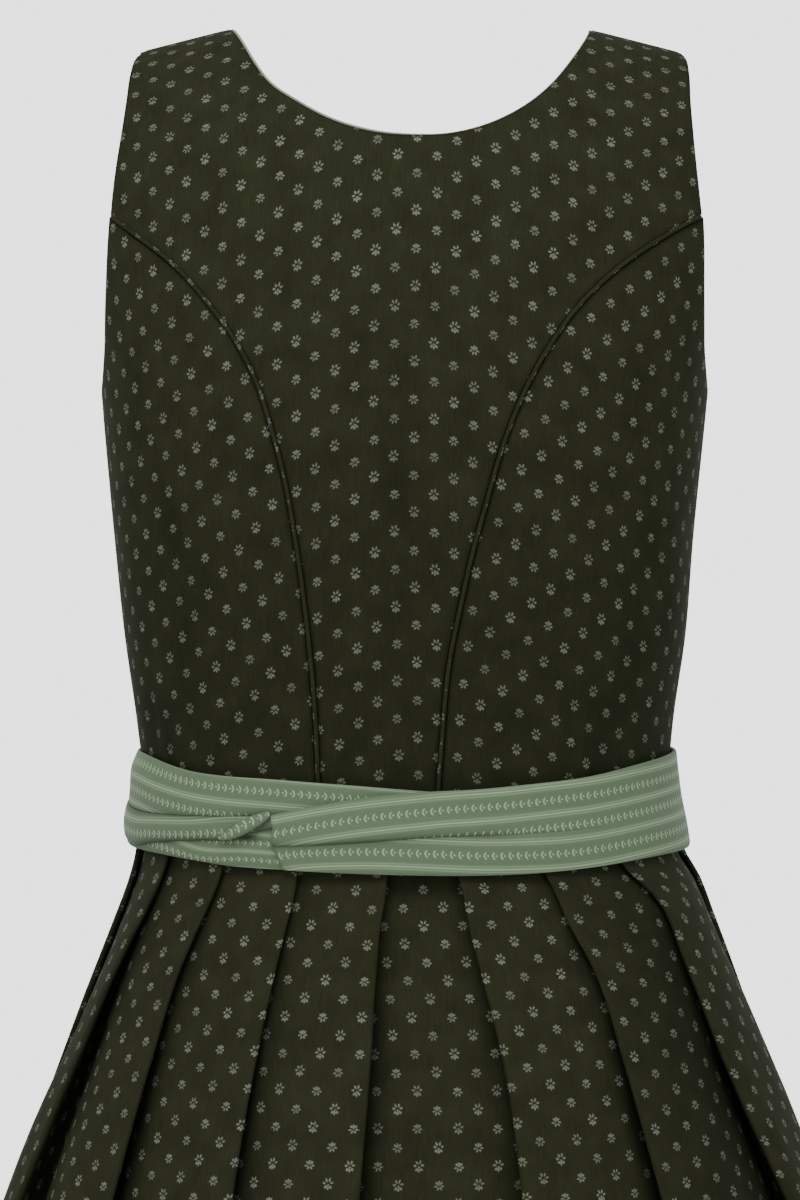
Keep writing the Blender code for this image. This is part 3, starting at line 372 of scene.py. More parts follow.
def body(side, psi, w):
    """Body surface: side -1 back or 1 front, psi round the section, w down from the
    shoulder line measured over the shoulder."""
    psi, w = np.broadcast_arrays(np.asarray(psi, float), np.asarray(w, float))
    h = ARCH[side]
    turn = np.clip(w / h, 0, math.pi / 2)
    drop = np.where(w < h * math.pi / 2, h * (1 - np.cos(turn)), h + w - h * math.pi / 2)
    x = 150 * np.sin(psi)
    for _ in range(12):
        z = ridge(x) - drop
        x = body_x(z, psi)
    z = ridge(x) - drop
    depth = smooth(BODY, z, 3 if side < 0 else 4)
    y = side * depth * np.cos(psi) * (1 + smooth(BODY, z, 5) * np.sin(psi)**2) * np.sin(turn)
    if side > 0:
        # the bust, which dies away before the side seam so that the seam stays shut
        at, wide, height, tall, full = BUST
        swell = np.exp(-((np.abs(x) - at) / wide)**2 - ((z - height) / tall)**2)
        y = y + full * np.sin(turn) * swell * (1 - np.sin(psi)**8)
    return np.stack([x, y, z], -1)


def uv(side, x, z):
    """(psi, w) of the body surface's point at x, z."""
    x, z = np.asarray(x, float), np.asarray(z, float)
    h = ARCH[side]
    sine = np.clip((x - smooth(BODY, z, 1)) / smooth(BODY, z, 2), -1, 1)
    d = np.maximum(ridge(x) - z, 0)
    w = np.where(d < h, h * np.arccos(np.clip(1 - d / h, -1, 1)), d - h + h * math.pi / 2)
    return np.stack([np.arcsin(sine), w], -1)


def slopes(side, p):
    """How the body surface moves for a step of psi and a step of w at points p."""
    angle, drop = 1e-3, 0.3
    q = np.maximum(p, [-9, drop])

    def slope(step):
        return (body(side, *np.moveaxis(q + step, -1, 0))
                - body(side, *np.moveaxis(q - step, -1, 0)))

    return slope(np.array([angle, 0.0])) / (2 * angle), slope(np.array([0.0, drop])) / (2 * drop)


def normals(side, p):
    """Outward unit normals of the body surface at points p = (psi, w)."""
    du, dw = slopes(side, p)
    n = np.cross(du, dw) * (-1.0 if side < 0 else 1.0)
    return n / np.linalg.norm(n, axis=-1, keepdims=True)


def shifted(side, line, mm):
    """A line of (psi, w) moved sideways on the surface, + to the line's left hand."""
    tan = np.gradient(body(side, *line.T), axis=0)
    tan /= np.linalg.norm(tan, axis=1, keepdims=True)
    want = np.cross(normals(side, line), tan) * mm
    du, dw = slopes(side, line)
    aa, ab, bb = (du * du).sum(1), (du * dw).sum(1), (dw * dw).sum(1)
    ra, rb = (du * want).sum(1), (dw * want).sum(1)
    det = aa * bb - ab * ab
    return line + np.stack([(ra * bb - rb * ab) / det, (rb * aa - ra * ab) / det], 1)


FINE = 361      # points of a pattern line


def line_uv(side, points):
    """A table of (x, z) as FINE points of (psi, w), evenly spaced on the surface."""
    pts = along(points, np.linspace(0, 1, FINE))
    line = uv(side, pts[:, 0], pts[:, 1])
    run = run_of(body(side, line[:, 0], line[:, 1]))
    at = np.linspace(0, run[-1], FINE)
    return np.stack([np.interp(at, run, line[:, 0]), np.interp(at, run, line[:, 1])], 1)


def pick(line, shares):
    """Points at shares of an evenly spaced line."""
    at = np.linspace(0, 1, len(line))
    return np.stack([np.interp(shares, at, line[:, 0]), np.interp(shares, at, line[:, 1])], 1)


def shares(count, first=True, last=True):
    """Shares from 0 to 1, with extra ones close to the ends where cloth turns a seam."""
    near = np.array([0.12, 0.3, 0.6]) / count
    mid = np.linspace(0, 1, count + 1)
    extra = [near] * first + [1 - near] * last
    return np.unique(np.concatenate([mid] + extra))


def coons(bottom, top, left, right, u):
    """A grid filled in between four border lines that share their corners. Its rows
    climb at the pace of the two side lines."""
    def climb(line):
        return (line[:, 1] - line[0, 1]) / (line[-1, 1] - line[0, 1])
    u = u[None, :, None]
    v = climb(left)[:, None, None] * (1 - u) + climb(right)[:, None, None] * u
    corners = ((1 - u) * (1 - v) * bottom[0] + u * (1 - v) * bottom[-1]
               + (1 - u) * v * top[0] + u * v * top[-1])
    return ((1 - v) * bottom[None] + v * top[None] + (1 - u) * left[:, None]
            + u * right[:, None] - corners)


# ------------------------------------------------------------------ bodice borders
def half(points, sign):
    """A table of the +X side laid on the left (sign -1) or the right (1)."""
    return [(sign * x, z) for x, z in points]


def seam_line(side, sign):
    """Princess seam, waist first and armhole last."""
    if side > 0:
        table = half(FRONT_SEAM, sign)
    else:
        table = BACK_SEAM_LEFT if sign < 0 else BACK_SEAM_RIGHT
    return line_uv(side, table[::-1])


def arm_line(side, sign):
    """Armhole edge, princess seam first and shoulder last."""
    if side > 0:
        table = half(FRONT_ARM, sign)
    else:
        table = [(left if sign < 0 else right, z) for left, right, z in BACK_ARM]
    line = line_uv(side, table)
    line[-1, 1] = GAP / 2
    return line


def waist_uv(side, psi):
    """The waist edge at places round the body."""
    x = body_x(WAIST_Z, psi)
    return uv(side, x, np.full_like(x, WAIST_Z))


def meet(arm, seam):
    """An armhole line drawn to the end of its panel's own edge along the seam."""
    return arm + (seam[-1] - arm[0]) * np.linspace(1, 0, FINE)[:, None]**6


def centre_back_grid():
    """Centre back panel, below and above a line from one armhole to the other."""
    edge = PIPING_R + GAP
    seams = [shifted(-1, seam_line(-1, sign), edge * sign) for sign in (-1, 1)]
    arms = [meet(arm_line(-1, sign), seam) for seam, sign in zip(seams, (-1, 1))]
    neck = line_uv(-1, BACK_NECK)
    neck[[0, -1], 1] = GAP / 2
    u = shares(BACK_COLUMNS)
    strap = STRAP_SHARE
    top = np.where((u < strap)[:, None],
                   arms[0][-1] + (neck[0] - arms[0][-1]) * (u / strap)[:, None],
                   pick(neck, np.clip((u - strap) / (1 - 2 * strap), 0, 1)))
    top = np.where((u > 1 - strap)[:, None],
                   arms[1][-1] + (neck[-1] - arms[1][-1]) * ((1 - u) / strap)[:, None], top)
    left, right, height = BACK_ARM[0]
    x = left + (right - left) * u
    yoke = uv(-1, x, height + YOKE_RISE * (1 - (x / x[0])**2))
    yoke[0], yoke[-1] = seams[0][-1], seams[1][-1]
    bottom = waist_uv(-1, seams[0][0, 0] + (seams[1][0, 0] - seams[0][0, 0]) * u)
    low, high = np.linspace(0, 1, 61), shares(26, first=False)
    sides = [pick(s, low) for s in seams]
    sides[0][0], sides[1][0] = bottom[0], bottom[-1]
    return [coons(bottom, yoke, *sides, u),
            coons(yoke, top, *[pick(a, high) for a in arms], u)]


def side_grid(side, sign):
    """Side panel from the princess seam round to the side seam."""
    seam = shifted(side, seam_line(side, sign), -(PIPING_R + GAP) * sign * -side)
    under = np.array(BACK_UNDERARM if side < 0 else FRONT_UNDERARM)
    last = sign * (math.pi / 2 - SEAM_ANGLE)
    u = shares(34)
    height = smooth(under, u, 1)
    psi = seam[-1, 0] + (last - seam[-1, 0]) * u
    top = uv(side, body_x(height, psi), height)
    top[0] = seam[-1]
    bottom = waist_uv(side, seam[0, 0] + (last - seam[0, 0]) * u)
    v = shares(60, first=False)
    left = pick(seam, v)
    left[0] = bottom[0]
    heights = WAIST_Z + (height[-1] - WAIST_Z) * v
    outer = uv(side, body_x(heights, last), heights)
    outer[:, 0] = last
    top[-1], bottom[-1] = outer[-1], outer[0]
    return [coons(bottom, top, left, outer, u)]


def front_grid(sign):
    """Front panel in two patches: up to the foot of the neckline, and the strap."""
    middle = sign * SEAM_ANGLE
    seam = shifted(1, seam_line(1, sign), -(PIPING_R + GAP) * sign)
    neck = line_uv(1, half(FRONT_NECK, sign))
    neck[0, 0] = middle
    neck[-1, 1] = GAP / 2
    arm = meet(arm_line(1, sign), seam)
    turn = pick(neck, np.array([FRONT_FOOT]))[0]
    foot = np.linspace(0, FOOT_COLUMNS, 19)[:-1]
    strap = shares(24)
    mix = strap[:, None]
    chest = turn * (1 - mix) + seam[-1] * mix
    chest[:, 1] += 5.0 * np.sin(math.pi * mix[:, 0])
    u = np.concatenate([foot, FOOT_COLUMNS + (1 - FOOT_COLUMNS) * strap])
    top = np.concatenate([pick(neck, foot / FOOT_COLUMNS * FRONT_FOOT), chest])
    bottom = waist_uv(1, middle + (seam[0, 0] - middle) * u)
    v = shares(60, first=False)
    right = pick(seam, v)
    right[0] = bottom[-1]
    waist, top_w = bottom[0, 1], neck[0, 1]
    centre = np.stack([np.full_like(v, middle), waist + (top_w - waist) * v], 1)
    rise = shares(40, first=False)
    shoulder = neck[-1] * (1 - mix) + arm[-1] * mix
    return [coons(bottom, top, centre, right, u),
            coons(chest, shoulder, pick(neck, FRONT_FOOT + (1 - FRONT_FOOT) * rise),
                  pick(arm, rise), strap)]


# ------------------------------------------------------------------ meshes
def sew(patches):
    """The points of some grids, each once, and their four-sided faces."""
    index, points, quads = {}, [], []
    for g in patches:
        ids = np.zeros(g.shape[:2], int)
        for r, c in np.ndindex(ids.shape):
            key = (round(float(g[r, c, 0]), 6), round(float(g[r, c, 1]), 5))
            if key not in index:
                index[key] = len(points)
                points.append(g[r, c])
            ids[r, c] = index[key]
        for r, c in np.ndindex(ids.shape[0] - 1, ids.shape[1] - 1):
            quads.append((ids[r, c], ids[r, c + 1], ids[r + 1, c + 1], ids[r + 1, c]))
    return np.array(points), [tuple(int(i) for i in q) for q in quads]


def link(name, data):
    """An object of some data, linked to the scene."""
    obj = bpy.data.objects.new(name, data)
    bpy.context.scene.collection.objects.link(obj)
    return obj


FINISHED = "_finished"


def make(name, verts, faces, materials, uvs=None, slots=None):
    """A mesh object in metres, facing outwards, with a UV map in metres of cloth. Where a
    plain solid already has the name, the piece takes "_finished" after it."""
    if name in bpy.data.objects:
        name += FINISHED
    mesh = bpy.data.meshes.new(name)
    mesh.from_pydata([tuple(v) for v in np.asarray(verts, float) * MM], [], faces)
    for m in materials:
        mesh.materials.append(m)
    if slots is not None:
        mesh.polygons.foreach_set("material_index", np.asarray(slots, np.int32))
    if uvs is not None:
        layer = mesh.uv_layers.new(name="cloth")
        layer.data.foreach_set("uv", (np.asarray(uvs, float).reshape(-1, 2) * MM).ravel())
    a = np.asarray(verts, float)
    volume = 0.0
    for f in faces:
        p = a[list(f)]
        for i in range(1, len(f) - 1):
            volume += float(np.dot(p[0], np.cross(p[i], p[i + 1])))
    if volume < 0:
        mesh.flip_normals()
    mesh.shade_smooth()
    mesh.update()
    return link(name, mesh)


def rim_of(rows, cols):
    """The border of a grid, as (row, column) once round."""
    return ([(0, c) for c in range(cols)] + [(r, cols - 1) for r in range(1, rows)]
            + [(rows - 1, c) for c in range(cols - 2, -1, -1)]
            + [(r, 0) for r in range(rows - 2, 0, -1)])


def two_faced(r, c, cols, n, quad):
    """The outer and inner face of one cell of a grid with n points a side, and their UVs."""
    a = r * cols + c
    b, d, e = a + 1, a + cols, a + cols + 1
    return ([(a, b, e, d), (n + a, n + d, n + e, n + b)],
            quad + [quad[0], quad[3], quad[2], quad[1]])


def keep_painted_shade(obj, hollow):
    """Keeps on the mesh the painted shade of each point of its outer face, 0 to 1."""
    values = np.zeros(len(obj.data.vertices))
    values[:len(hollow)] = hollow
    obj.data.attributes.new("hollow", "FLOAT", "POINT").data.foreach_set("value", values)


def dress(obj):
    """Puts a finished piece on the dress, in place of the plain solid of its name."""
    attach(obj, ROOT)
    if obj.name.endswith(FINISHED):
        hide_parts(obj.name.removesuffix(FINISHED))
    return obj


def trough(side, place):
    """How far the cloth stands in or out of the body surface at points in space."""
    lift = np.zeros(len(place))
    for which, depth, wide, line in CREASES:
        if which != side:
            continue
        path = along(line, np.linspace(0, 1, 25))
        span = len(path) - 1
        gap = place[:, None, [0, 2]] - path[None]
        far = np.linalg.norm(gap, axis=2)
        near = far.argmin(1)
        ease = np.sin(np.clip(near / span, 0.04, 0.96) * math.pi)**0.6
        lift += depth * ease * np.exp(-(far.min(1) / wide)**2)
    return lift


def panel(name, side, patches, grain, cloth="centre", lining="wrong",
          wall=CLOTH, outside=0.0, dip=EDGE_DIP):
    """A cloth panel on the body surface. grain is the psi of its straight grain, and outside the
    height of its face."""
    points, quads = sew(patches)
    place, nrm = body(side, *points.T), normals(side, points)
    pairs = {(q[i], q[(i + 1) % 4]): True for q in quads for i in range(4)}
    rim = [(a, b) for a, b in pairs if (b, a) not in pairs]
    edge = place[sorted({i for e in rim for i in e})]
    near = np.array([np.linalg.norm(edge - p, axis=1).min() for p in place])
    pressed = trough(side, place)
    lift = outside + pressed - dip * np.exp(-(near / 1.5)**2)
    # straight lengths of cloth from the grain line, level by level
    t = np.linspace(0, 1, 17)[:, None]
    track = body(side, (grain + (points[:, 0] - grain) * t).ravel(),
                 np.broadcast_to(points[:, 1], (17, len(points))).ravel()).reshape(17, -1, 3)
    reach = np.linalg.norm(np.diff(track, axis=0), axis=2).sum(0)
    laid = np.stack([reach * np.sign(points[:, 0] - grain) * -side, -points[:, 1]], 1)
    n = len(points)
    back = place + nrm * (lift - wall)[:, None]
    front = place + nrm * lift[:, None]
    faces = list(quads) + [(n + a, n + d, n + c, n + b) for a, b, c, d in quads]
    slots = [0] * len(quads) + [1] * len(quads)
    faces += [(b, a, n + a, n + b) for a, b in rim]
    slots += [0] * len(rim)
    both = np.concatenate([laid, laid])
    uvs = both[np.concatenate([np.array(f) for f in faces])]
    obj = make(name, np.concatenate([front, back]), faces, [finish(cloth), finish(lining)],
               uvs, slots)
    # painted shade along the seams and in the creases, and more painted shade towards the waist
    low = np.clip((-150 - place[:, 2]) / 200, 0, 1)
    keep_painted_shade(obj, np.clip(0.5 * np.exp(-(near / 1.1)**2) + 0.24 * low
                        - 0.10 * np.minimum(pressed, 0), 0, 1))
    dress(obj)
    return obj


def tube(name, centre, radii, sides, cloth):
    """A round or oval cord with closed ends: centre points, and (out, up) radii at each."""
    tan = np.gradient(centre, axis=0)
    tan /= np.linalg.norm(tan, axis=1, keepdims=True)
    out = centre * [1, 1, 0]
    out -= tan * (out * tan).sum(1, keepdims=True)
    out /= np.linalg.norm(out, axis=1, keepdims=True)
    up = np.cross(out, tan)
    run = run_of(centre)
    ang = np.linspace(0, 2 * math.pi, sides + 1)
    ring = (centre[:, None] + radii[:, None, :1] * np.cos(ang)[None, :, None] * out[:, None]
            + radii[:, None, 1:] * np.sin(ang)[None, :, None] * up[:, None])
    girth = radii.mean() * ang
    verts = ring[:, :-1].reshape(-1, 3)
    faces, uvs = [], []
    for i in range(len(centre) - 1):
        for j in range(sides):
            k = (j + 1) % sides
            a, b = i * sides + j, i * sides + k
            faces.append((a, b, b + sides, a + sides))
            uvs += [(girth[j], run[i]), (girth[j + 1], run[i]),
                    (girth[j + 1], run[i + 1]), (girth[j], run[i + 1])]
    last = (len(centre) - 1) * sides
    faces += [tuple(range(sides))[::-1], tuple(range(last, last + sides))]
    uvs += [(0.0, 0.0)] * sides + [(0.0, float(run[-1]))] * sides
    return make(name, verts, faces, [finish(cloth)], uvs)


# ------------------------------------------------------------------ materials
def node(tree, kind, *values, **more):
    """Adds a node: a shader node by its short name, with its operation after it where it has
    one, or any other by its full name. The values fill its inputs in order. Of the rest, a
    capital letter, or a number after i, names an input and a small letter a setting. An
    input takes a value, an output, or a node for its first output."""
    kind, *operation = kind.split()
    n = tree.nodes.new(kind if "Node" in kind else "ShaderNode" + kind)
    if operation:
        n.operation = operation[0]
    inputs = dict(enumerate(values))
    for key, value in more.items():
        if key[1:].isdigit():
            inputs[int(key[1:])] = value
        elif key[0].isupper():
            inputs[key.replace("_", " ")] = value
        else:
            setattr(n, key, value)
    for key, value in inputs.items():
        if isinstance(value, bpy.types.Node):
            value = value.outputs[0]
        if isinstance(value, bpy.types.NodeSocket):
            tree.links.new(value, n.inputs[key])
        else:
            n.inputs[key].default_value = value
    return n


def new_material(name):
    """An empty material and its node tree."""
    mat = bpy.data.materials.new(name)
    mat.use_nodes = True
    mat.node_tree.nodes.clear()
    return mat, mat.node_tree


def surface(tree, **look):
    """Ends a material with its shader, whose sockets take the look."""
    node(tree, "OutputMaterial", node(tree, "BsdfPrincipled", **look))


def paint(name):
    """One of the user's colours, as a socket takes it."""
    return (*getattr(bpy.context.scene.dress_colours, name), 1)


# What all the cotton has: hardly any shine, and any sheen it has is soft
COTTON_LOOK = {"Sheen_Roughness": 0.5, "Specular_IOR_Level": 0.06}


def cloth_uv(tree, turn=0.0, shift=(0.0, 0.0)):
    """Millimetres of cloth across and up, turned on the bias if asked."""
    return node(tree, "Mapping", node(tree, "UVMap", uv_map="cloth"), vector_type="POINT",
                Scale=(1000, 1000, 1000), Rotation=(0, 0, turn), Location=(*shift, 0))


# Sprig: four petals fanned over a three-lobed leaf. Each is x, y of its middle, half its
# length and width in millimetres, and the degrees it leans
PETALS = [(-1.95, 0.45, 0.8, 0.5, 172), (-0.95, 1.85, 0.85, 0.5, 122),
          (0.75, 2.0, 0.85, 0.48, 70), (1.95, 0.7, 0.78, 0.48, 14),
          (-1.2, -1.25, 0.85, 0.6, 38), (0.0, -1.7, 0.6, 0.85, 0),
          (1.25, -1.2, 0.85, 0.6, -40), (0.1, -0.35, 0.5, 0.5, 0)]


def sprigs(tree, place, column, row, scale):
    """How much of a printed sprig covers each point. The sprigs stand on a lattice whose
    columns are half a repeat apart, and every second one is turned upside down."""
    x, y, _ = node(tree, "SeparateXYZ", place).outputs
    cx, cy = node(tree, "Math DIVIDE", x, column), node(tree, "Math DIVIDE", y, -row)
    a = node(tree, "Math MULTIPLY", node(tree, "Math ADD", cx, cy), 0.5)
    b = node(tree, "Math MULTIPLY", node(tree, "Math SUBTRACT", cx, cy), 0.5)
    ia, ib = node(tree, "Math ROUND", a), node(tree, "Math ROUND", b)
    c, r = node(tree, "Math ADD", ia, ib), node(tree, "Math SUBTRACT", ia, ib)
    kind = node(tree, "Math ADD",
                node(tree, "Math CEIL", node(tree, "Math MULTIPLY", c, 0.5)),
                node(tree, "Math FLOOR", node(tree, "Math MULTIPLY", r, 0.5)))
    odd = node(tree, "Math FLOORED_MODULO", kind, 2.0)
    sign = node(tree, "Math MULTIPLY_ADD", odd, -2.0, 1.0)
    cell = node(tree, "CombineXYZ", c, r)
    jitter = node(tree, "TexWhiteNoise", cell, noise_dimensions="3D")
    shake = node(tree, "SeparateColor", jitter.outputs["Color"]).outputs
    # the upright sprigs are drawn tall and open, the turned ones small and full, and each
    # is a little off its place, as the block was
    local = []
    for at, step, size, by, more, least in ((cx, c, column, shake[0], 0.11, 1.09),
                                            (cy, r, -row, shake[1], 0.27, 0.94)):
        away = node(tree, "Math MULTIPLY", node(tree, "Math SUBTRACT", at, step), size)
        away = node(tree, "Math ADD", away, node(tree, "Math MULTIPLY_ADD", by, 0.5, -0.25))
        drawn = node(tree, "Math MULTIPLY_ADD", odd, more, least)
        away = node(tree, "Math MULTIPLY", away, node(tree, "Math MULTIPLY", sign, drawn))
        local.append(node(tree, "Math DIVIDE", away, scale))
    at = node(tree, "CombineXYZ", *local)
    # the ink's ragged edge on the threads
    fuzz = node(tree, "TexNoise", noise_dimensions="2D", Vector=place, Scale=1.6, Detail=2.0,
                Roughness=0.7)
    rag = node(tree, "Math MULTIPLY_ADD", fuzz, 1.1, -0.55)
    near = None
    for x, y, long, wide, lean in PETALS:
        leaf = node(tree, "Mapping", at, vector_type="TEXTURE", Location=(x, y, 0),
                    Rotation=(0, 0, math.radians(lean)), Scale=(long, wide, 1))
        far = node(tree, "VectorMath LENGTH", leaf).outputs["Value"]
        d = node(tree, "Math MULTIPLY_ADD", far, min(long, wide), -min(long, wide))
        near = d if near is None else node(tree, "Math MINIMUM", near, d)
    near = node(tree, "Math MULTIPLY_ADD", odd, -0.09, near)
    ink = node(tree, "Math MULTIPLY_ADD", node(tree, "Math ADD", near, rag), -3.0, 0.5,
               use_clamp=True)
    shade = node(tree, "Math MULTIPLY_ADD", odd, -0.1,
                 node(tree, "Math MULTIPLY_ADD", shake[2], 0.3, 0.7))
    thread = node(tree, "TexNoise", noise_dimensions="2D", Vector=place, Scale=3.2, Detail=1.0)
    worn = node(tree, "Math MULTIPLY_ADD", thread, 0.5, 0.62, use_clamp=True)
    return node(tree, "Math MULTIPLY", node(tree, "Math MULTIPLY", ink, shade), worn)


COTTON_THREAD, SASH_THREAD = 0.9, 0.8   # pitch at which the threads are drawn


def weave_bump(tree, place, thread, strength, also=None):
    """Plain weave, drawn coarser than its 0.3 mm threads so that it shows: its bump, and
    its slubs."""
    x, y, _ = node(tree, "SeparateXYZ", place).outputs
    warp, weft = (node(tree, "Math SINE", node(tree, "Math MULTIPLY", way, math.tau / thread))
                  for way in (x, y))
    grid = node(tree, "Math MULTIPLY", warp, weft)
    slub = node(tree, "TexNoise", noise_dimensions="2D", Vector=place, Scale=0.9, Detail=3.0,
                Roughness=0.65)
    height = node(tree, "Math MULTIPLY_ADD", slub, 1.6, node(tree, "Math MULTIPLY", grid, 0.35))
    if also is not None:
        height = node(tree, "Math ADD", height, also)
    return node(tree, "Bump", Strength=strength, Distance=0.0002, Height=height), slub


def with_painted_shade(tree, colour, most):
    """The colour, darkened by the painted shade that the mesh keeps at each point."""
    deep = node(tree, "Attribute", attribute_name="hollow").outputs["Fac"]
    level = node(tree, "Math MULTIPLY_ADD", deep, -most, 1.0, use_clamp=True)
    return node(tree, "Mix", 1.0, data_type="RGBA", blend_type="MULTIPLY", i6=colour,
                i7=level).outputs[2]


def printed_cotton(name, ground, low, turn, shift, ink_level):
    """Block-printed cotton: a matt, dark olive plain weave with pale discharge sprigs."""
    sizes = bpy.context.scene.dress_sizes
    mat, tree = new_material("block-printed cotton, " + name)
    place = cloth_uv(tree, turn, shift)
    mark = sprigs(tree, place, sizes.column / MM, sizes.row / MM, sizes.sprig)
    normal, _ = weave_bump(tree, place, COTTON_THREAD, 0.35)
    # the dye is uneven, in wide mottles and along the yarn
    mottle = node(tree, "TexNoise", noise_dimensions="2D", Vector=place, Scale=0.055, Detail=3.0)
    share = node(tree, "Math MULTIPLY_ADD", mottle, 1.1, -0.2, use_clamp=True)
    base = node(tree, "Mix", share, data_type="RGBA", i6=paint(low), i7=paint(ground))
    streak = node(tree, "Mapping", place, Scale=(1.3, 0.09, 1))
    yarn = node(tree, "TexNoise", noise_dimensions="2D", Vector=streak, Scale=1.0, Detail=2.0)
    lift = node(tree, "Math MULTIPLY_ADD", yarn, 0.5, 0.75)
    tone = node(tree, "Mix", 1.0, data_type="RGBA", blend_type="MULTIPLY", i6=base.outputs[2],
                i7=lift)
    mark = node(tree, "Math MULTIPLY", mark, ink_level)
    printed = node(tree, "Mix", mark, data_type="RGBA", i6=tone.outputs[2], i7=paint("sprig"))
    # painted shade darkens the ground and the print in folds, creases and along seams
    surface(tree, Base_Color=with_painted_shade(tree, printed.outputs[2], 0.82), Normal=normal,
            Roughness=0.9, Sheen_Weight=0.0, **COTTON_LOOK)
    return mat


def woven_sash():
    """Jacquard ribbon cloth: sage cotton ground with rows of pale leaves between groups
    of fine stripes, softly ribbed across."""
    sizes = bpy.context.scene.dress_sizes
    repeat, pitch = sizes.weave_repeat / MM, sizes.leaf_pitch / MM
    mat, tree = new_material("jacquard sash, sage cotton")
    place = cloth_uv(tree)
    u, v, _ = node(tree, "SeparateXYZ", place).outputs
    # v is 0 on the first leaf row; level runs -half..half round each leaf row
    level = node(tree, "Math WRAP", v, repeat / 2, -repeat / 2)
    # leaves: an arc open to one side, with a bud inside it
    lu = node(tree, "Math WRAP", u, pitch / 2, -pitch / 2)
    spot = node(tree, "CombineXYZ", lu, level)

    def ring(x):
        return node(tree, "VectorMath DISTANCE", spot, (x, 0, 0)).outputs["Value"]

    arc = node(tree, "Math ABSOLUTE", node(tree, "Math SUBTRACT", ring(0.75), 1.6))
    stroke = node(tree, "Math MULTIPLY_ADD", arc, -3.0, 1.75, use_clamp=True)
    open_side = node(tree, "Math MULTIPLY_ADD", lu, -3.0, 1.0, use_clamp=True)
    bud = node(tree, "Math MULTIPLY_ADD", ring(0.95), -2.6, 1.75, use_clamp=True)
    leaf = node(tree, "Math MAXIMUM", node(tree, "Math MULTIPLY", stroke, open_side), bud)
    picks = node(tree, "TexNoise", noise_dimensions="2D", Vector=place, Scale=2.2, Detail=1.0)
    leaf = node(tree, "Math MULTIPLY", leaf,
                node(tree, "Math MULTIPLY_ADD", picks, 1.6, 0.1, use_clamp=True))
    # stripes: halfway between the leaf rows, three thin lines in a pale band
    off = node(tree, "Math SUBTRACT", repeat / 2, node(tree, "Math ABSOLUTE", level))
    centre = node(tree, "Math MULTIPLY_ADD", off, -2.6, 1.15, use_clamp=True)
    side = node(tree, "Math ABSOLUTE", node(tree, "Math SUBTRACT", off, 1.25))
    outer = node(tree, "Math MULTIPLY_ADD", side, -3.0, 0.95, use_clamp=True)
    stripe = node(tree, "Math MAXIMUM", centre, node(tree, "Math MULTIPLY", outer, 0.45))
    band = node(tree, "Math MULTIPLY_ADD", off, -0.8, 2.0, use_clamp=True)
    rib = node(tree, "Math SINE", node(tree, "Math MULTIPLY", v, math.tau / 1.05))
    normal, slub = weave_bump(tree, place, SASH_THREAD, 0.4,
                              node(tree, "Math MULTIPLY", leaf, 1.2))
    fine = node(tree, "Math MULTIPLY_ADD", rib, 0.10,
                node(tree, "Math MULTIPLY_ADD", slub, 0.5, -0.25))
    base = node(tree, "Mix", node(tree, "Math MULTIPLY_ADD", band, 0.75, fine, use_clamp=True),
                data_type="RGBA", i6=paint("sash_ground"), i7=paint("sash_band"))
    mark = node(tree, "Math MAXIMUM", node(tree, "Math MULTIPLY", leaf, 0.85),
                node(tree, "Math MULTIPLY", stripe, 0.75))
    woven = node(tree, "Mix", mark, data_type="RGBA", i6=base.outputs[2], i7=paint("sash_leaf"))
    # painted shade darkens the weave in the creases and in the pocket by the tuck
    surface(tree, Base_Color=with_painted_shade(tree, woven.outputs[2], 0.75), Normal=normal,
            Roughness=0.75, Sheen_Weight=0.05, **COTTON_LOOK)
    return mat


def facing_cotton():
    """Undyed plain weave with small slubs, paler than the dress."""
    mat, tree = new_material("ecru cotton facing")
    normal, slub = weave_bump(tree, cloth_uv(tree), COTTON_THREAD, 0.5)
    share = node(tree, "Math MULTIPLY_ADD", slub, 1.2, -0.1, use_clamp=True)
    base = node(tree, "Mix", share, data_type="RGBA", i6=paint("facing_low"),
                i7=paint("facing"))
    surface(tree, Base_Color=base.outputs[2], Normal=normal, Roughness=0.85,
            Sheen_Weight=0.1, **COTTON_LOOK)
    return mat


def button_horn():
    """Polished horn: streaks of brown and straw through a satin surface."""
    mat, tree = new_material("polished horn")
    stretch = node(tree, "Mapping", node(tree, "TexCoord").outputs["Object"],
                   Scale=(500, 500, 140))
    grain = node(tree, "TexNoise", Vector=stretch, Scale=1.0, Detail=4.0)
    share = node(tree, "Math MULTIPLY_ADD", grain, 2.2, -0.6, use_clamp=True)
    base = node(tree, "Mix", share, data_type="RGBA", i6=paint("horn"), i7=paint("horn_pale"))
    surface(tree, Base_Color=base.outputs[2], Roughness=0.32, Coat_Weight=0.15)
    return mat


def sewing_thread():
    """Twisted cotton thread, a shade lighter than the cloth."""
    mat, tree = new_material("cotton sewing thread")
    ply = node(tree, "TexNoise", Vector=node(tree, "TexCoord").outputs["Object"],
               Scale=1500.0, Detail=1.0)
    share = node(tree, "Math MULTIPLY_ADD", ply, 1.0, 0.0, use_clamp=True)
    base = node(tree, "Mix", share, data_type="RGBA", i6=paint("thread"),
                i7=paint("thread_pale"))
    surface(tree, Base_Color=base.outputs[2], Roughness=0.7)
    return mat


